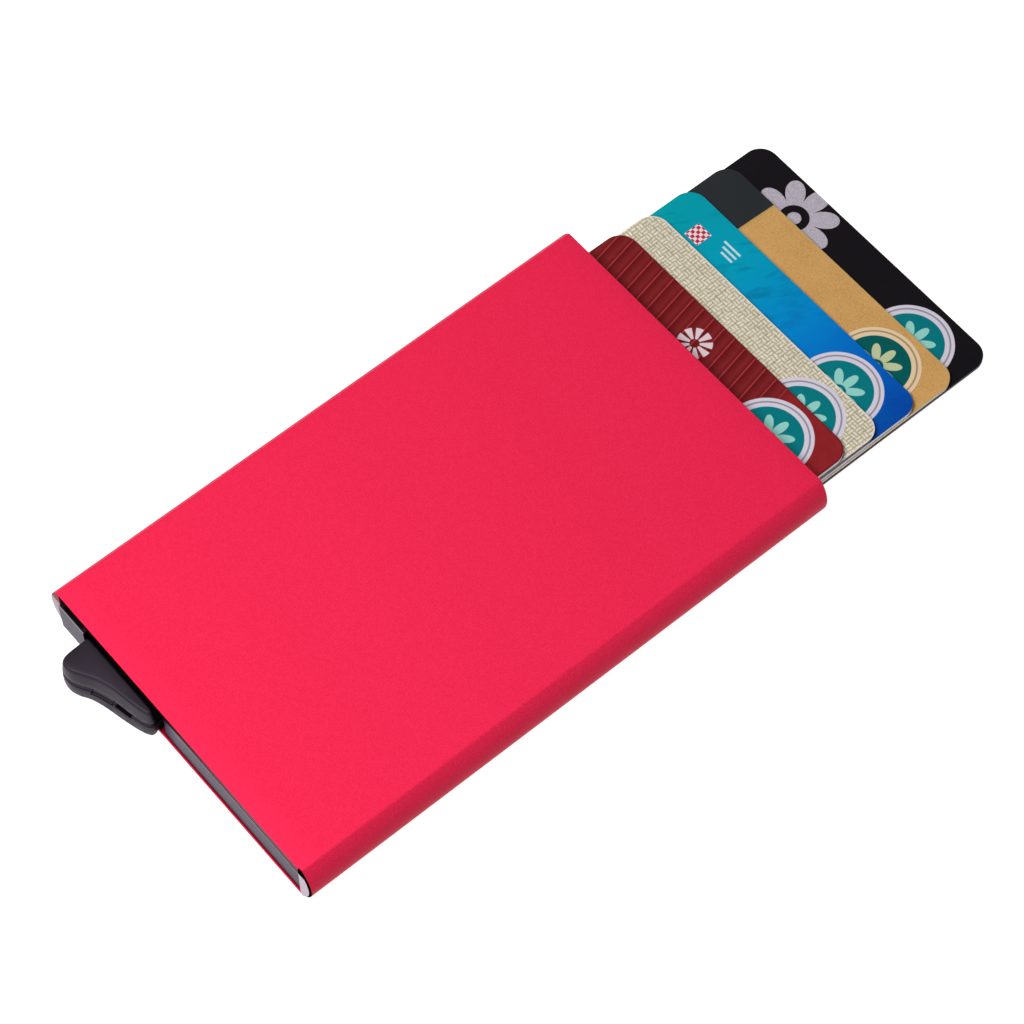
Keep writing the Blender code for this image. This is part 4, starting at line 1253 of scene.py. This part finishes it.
def with_seal(finish, place, ground, colours=SILVER_SEAL):
    """A ground with the seal that every card carries near its far corner."""
    return layered(finish, ground, rosette(finish, place, **SEAL, colours=colours))


def print_black(finish, place):
    """Near-black, with a large grainy silver flower."""
    sand = finish.noise(0.2 * MM, detail=3.0, roughness=0.7)
    silver = finish.mix(finish.between(sand, 0.35, 0.65), paint(166, 156, 170), paint(206, 198, 210))
    cloud = finish.noise(0.5 * MM, detail=4.0)
    ground = finish.mix(cloud, paint(18, 15, 19), paint(27, 23, 29))
    bloom = flower(finish, place, x=-12.5, y=-6.2, petals=8, radius=7.4)
    return with_seal(finish, place, finish.mix(bloom, ground, silver))


def print_gold(finish, place):
    """Gold speckled like kraft paper, with a dark field beyond a slanted edge: x plus a share of y,
    counted from the edge, is less than 0 there."""
    speck = finish.noise(0.3 * MM, detail=5.0, roughness=0.75)
    cloud = finish.noise(4 * MM, detail=2.0)
    gold = finish.mix(finish.spread(speck), paint(186, 134, 74), paint(226, 178, 110))
    gold = finish.mix(finish.spread(cloud, 0.0, 0.3), gold, paint(230, 180, 114))
    gold = finish.mix(rim_mask(finish, place), gold, paint(206, 168, 104))
    x, y = offset(finish, place, FIELD_EDGE, 0.0)
    slant = finish.math("MULTIPLY_ADD", y, FIELD_SLANT, x)
    dark = finish.mix(speck, paint(38, 42, 44), paint(49, 52, 56))
    ground = finish.mix(inside(finish, slant, FIELD_LINE), gold, paint(196, 158, 96))
    return with_seal(finish, place, finish.mix(inside(finish, slant, 0.0), ground, dark), GOLD_SEAL)


def print_teal(finish, place):
    """Teal that turns blue across the card, with long soft shadows like folds in silk, a small
    chequer and three short bars."""
    x = finish.axis("X", place)
    silk = finish.moved(turn=-0.5, scale=(0.4, 1.3, 1.0))
    folds = finish.noise(7 * MM, detail=4.0, roughness=0.6, place=silk)
    swing = finish.math("MULTIPLY_ADD", folds, 10.0, finish.less(x, 5.0))
    share = finish.between(swing, -CARD_HALF, CARD_HALF)
    hue = finish.steps(share, [
        (0.0, paint(0, 158, 170)), (0.3, paint(0, 160, 190)), (0.55, paint(0, 138, 210)),
        (0.8, paint(0, 100, 198)), (1.0, paint(2, 72, 166)),
    ])
    shade = finish.mix(finish.between(folds, 0.47, 0.34, 0.0, 0.4), hue, paint(0, 84, 140))
    cells = (finish.math("DIVIDE", finish.axis(name, place), CHEQUER_CELL) for name in "XY")
    count = finish.math("ADD", *(finish.math("FLOOR", cell) for cell in cells))
    odd = finish.math("PINGPONG", count, 1.0)
    chequer = finish.mix(odd, paint(236, 224, 232), paint(198, 40, 62))
    layers = [(block(finish, place, x=-19.22, y=-5.58, half_x=1.55, half_y=1.55), chequer)]
    for n in range(3):
        bar = block(finish, place, x=-13.6 + n * 0.3, y=-3.2 - n * 0.9, half_x=1.9 - n * 0.3, half_y=0.2)
        layers.append((bar, paint(196, 226, 234)))
    return with_seal(finish, place, layered(finish, shade, layers))


def print_beige(finish, place):
    """Woven cane: square cells, turned by turns, each with two strands. A cell's turn is the parity
    of its column plus its row, and a strand is the middle of each half of the cell across it."""
    bend = finish.math("MULTIPLY_ADD", finish.noise(2.5 * MM, detail=2.0), 0.5, -0.25)
    cells = []
    for name, sign in (("X", 1.0), ("Y", -1.0)):
        along = finish.math("MULTIPLY_ADD", bend, sign, finish.axis(name, place))
        cells.append(finish.math("DIVIDE", along, CANE_CELL))
    count = finish.math("ADD", *(finish.math("FLOOR", cell) for cell in cells))
    turned = finish.size(finish.math("MODULO", count, 2.0))
    share_x, share_y = (finish.math("FRACT", cell) for cell in cells)
    swing = finish.times(turned, finish.less(share_y, share_x))
    across = finish.math("ADD", share_x, swing)
    along = finish.less(share_y, swing)
    half_cell = finish.math("FRACT", finish.times(across, 2.0))
    ridge, end = (finish.size(finish.less(share, 0.5)) for share in (half_cell, along))
    strand = finish.times(inside(finish, ridge, 0.3, 0.2), inside(finish, end, 0.42, 0.12))
    worn = finish.spread(finish.noise(0.5 * MM, detail=3.0))
    pale = finish.mix(worn, paint(214, 204, 190), paint(244, 235, 228))
    gap = finish.mix(worn, paint(160, 151, 108), paint(202, 192, 152))
    return with_seal(finish, place, finish.mix(strand, gap, pale))


def print_red(finish, place):
    """Dark red pleats, slanted bands that darken towards a fine pale line, and a small pale
    sunburst."""
    x, y = offset(finish, place, 0.0, 0.0)
    slanted = finish.math("MULTIPLY_ADD", y, PLEAT_SLANT, x)
    share = finish.math("FRACT", finish.math("DIVIDE", slanted, PLEAT_WIDTH))
    pleat = finish.steps(share, [
        (0.0, paint(180, 64, 62)), (0.05, paint(172, 58, 58)), (0.11, paint(102, 18, 24)),
        (0.3, paint(116, 26, 30)), (0.7, paint(134, 38, 40)), (0.95, paint(112, 24, 30)),
        (1.0, paint(158, 46, 52)),
    ])
    cloud = finish.noise(1.5 * MM, detail=3.0)
    pleat = finish.mix(finish.spread(cloud, 0.0, 0.2), pleat, paint(90, 16, 22))
    plain = finish.mix(cloud, paint(138, 30, 36), paint(150, 40, 44))
    ground = finish.mix(finish.between(slanted, 11.0, 14.0), pleat, plain)
    burst = sunburst(finish, place, x=-3.3, y=-5.6, rays=9, inner=0.8, outer=2.9)
    return with_seal(finish, place, finish.mix(burst, ground, paint(226, 206, 212)))


print("the seal is", 2 * SEAL["radius"], "mm wide")

# %% [markdown]
# The cards differ in their cores too: black, cream, dark blue or white. The beige and the red print
# end in a plain rim.

# %% Finish the cards
finish_card("black", print_black, core=paint(26, 22, 28), back=paint(30, 28, 32))
finish_card("gold", print_gold, core=paint(255, 228, 198), back=paint(186, 146, 88))
finish_card("teal", print_teal, core=paint(255, 250, 255), back=paint(208, 214, 224))
finish_card(
    "beige", print_beige, core=paint(34, 34, 78), back=paint(214, 208, 196), rim=paint(236, 226, 206)
)
finish_card("red", print_red, core=paint(255, 250, 255), back=paint(120, 34, 38), rim=paint(118, 26, 30))
print("prints:", ", ".join(CARD_COLOURS))

# %% [markdown]
# ## The contact plates
#
# A contact plate is gilded copper on glass fibre, cut into pads by fine grooves. The grooves are
# drawn from distances again: a rounded field in the middle, and straight cuts from it to the edges.

# %% Finish the contact plates
GROOVE, GROOVE_SOFT = 0.14, 0.03
FIELD_HALF, FIELD_CORNER = (1.2, 2.2), 1.0
CUT_HEIGHTS = (0.0, 3.1)


def groove_at(finish, distance, middle):
    """A mask of a narrow groove where a distance has this value."""
    return inside(finish, finish.size(finish.less(distance, middle)), GROOVE / 2, GROOVE_SOFT)


def finish_chip(colour):
    """Brushed gold with dark, deep grooves: one round the field, and cuts from it to the edges."""
    finish = Finish(colour + "_contact_gold", metallic=1.0)
    low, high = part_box("chip_" + colour)
    centre = ((low.x + high.x) / 2, (low.y + high.y) / 2, low.z)
    place = finish.moved(centre, scale=(MM, MM, MM))
    x, y = (finish.size(finish.axis(name, place)) for name in "XY")
    over = [finish.most(finish.less(side, half), 0.0) for side, half in zip((x, y), FIELD_HALF)]
    field = length(finish, *over)
    outside = finish.between(field, FIELD_CORNER * 0.98, FIELD_CORNER)
    cuts = [groove_at(finish, y, height) for height in CUT_HEIGHTS] + [groove_at(finish, x, 0.0)]
    cuts = [finish.times(cut, outside) for cut in cuts]
    groove = finish.most(groove_at(finish, field, FIELD_CORNER), *cuts)
    brushed = finish.noise(0.5 * MM, place=finish.moved(scale=(1.0, 0.05, 1.0)))
    gold = finish.mix(brushed, paint(206, 168, 96), paint(232, 200, 132))
    finish.set(
        Base_Color=finish.mix(groove, gold, paint(60, 48, 30)),
        Roughness=finish.spread(brushed, 0.2, 0.34),
    )
    finish.bump(finish.rest(groove), 0.6, 0.03 * MM)
    finish.on(chips[colour])


for colour in CARD_COLOURS:
    finish_chip(colour)
print("contact plates gilded:", len(chips))

# %% [markdown]
# ## The felt
#
# Two strips of felt press on the cards just inside the mouth, and two thin ones line the channel's
# sides. They are slabs as the cards are, with soft edges and a fibrous finish.

# %% Make the felt strips
FELT_NODES = ("friction_pad_upper", "friction_pad_lower", "side_rail_left", "side_rail_right")


def make_felt(node):
    """A slab whose corners are 0.45 of its shorter side, and whose edge is 0.3 of its thickness but
    at most 0.8 of a corner."""
    low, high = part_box(node)
    thin = min(high - low)
    corner = min(high.x - low.x, high.y - low.y) * 0.45
    edge = min(thin * 0.3, corner * 0.8)
    loops = slab_rows(low, high, corner, edge_profile(low.z, high.z, edge, steps=4))
    mesh = slab_mesh(node + "_felt", loops)
    return add_piece(mesh.name, mesh, "case", [node], sharp_degrees=60)


def finish_felt():
    """Fine fibres, darker in tufts, with a strong bump and a little sheen."""
    finish = Finish("dark_felt", roughness=0.95)
    fibre = finish.noise(0.12 * MM, detail=6.0, roughness=0.75)
    tuft = finish.noise(0.7 * MM, detail=3.0)
    tone = finish.mix(fibre, paint(30, 28, 31), paint(66, 62, 68))
    finish.set(Base_Color=finish.mix(finish.spread(tuft, 0.0, 0.4), tone, paint(40, 37, 42)))
    finish.set(Sheen_Weight=0.3, Sheen_Roughness=0.5)
    finish.bump(fibre, 0.8, 0.05 * MM)
    return finish


felt = finish_felt()
felt.on(*[make_felt(node) for node in FELT_NODES])

# %% [markdown]
# ## The sizes
#
# The dressed model has to keep the frame's size. Both boxes are written down to be compared.

# %% Compare the sizes and finish
scene_bounds = [list(corner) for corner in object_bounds()]
for corner, (before, after) in enumerate(zip(cad_bounds, scene_bounds)):
    print("corner", corner, [round((b - a) / MM, 3) for a, b in zip(before, after)], "mm apart")
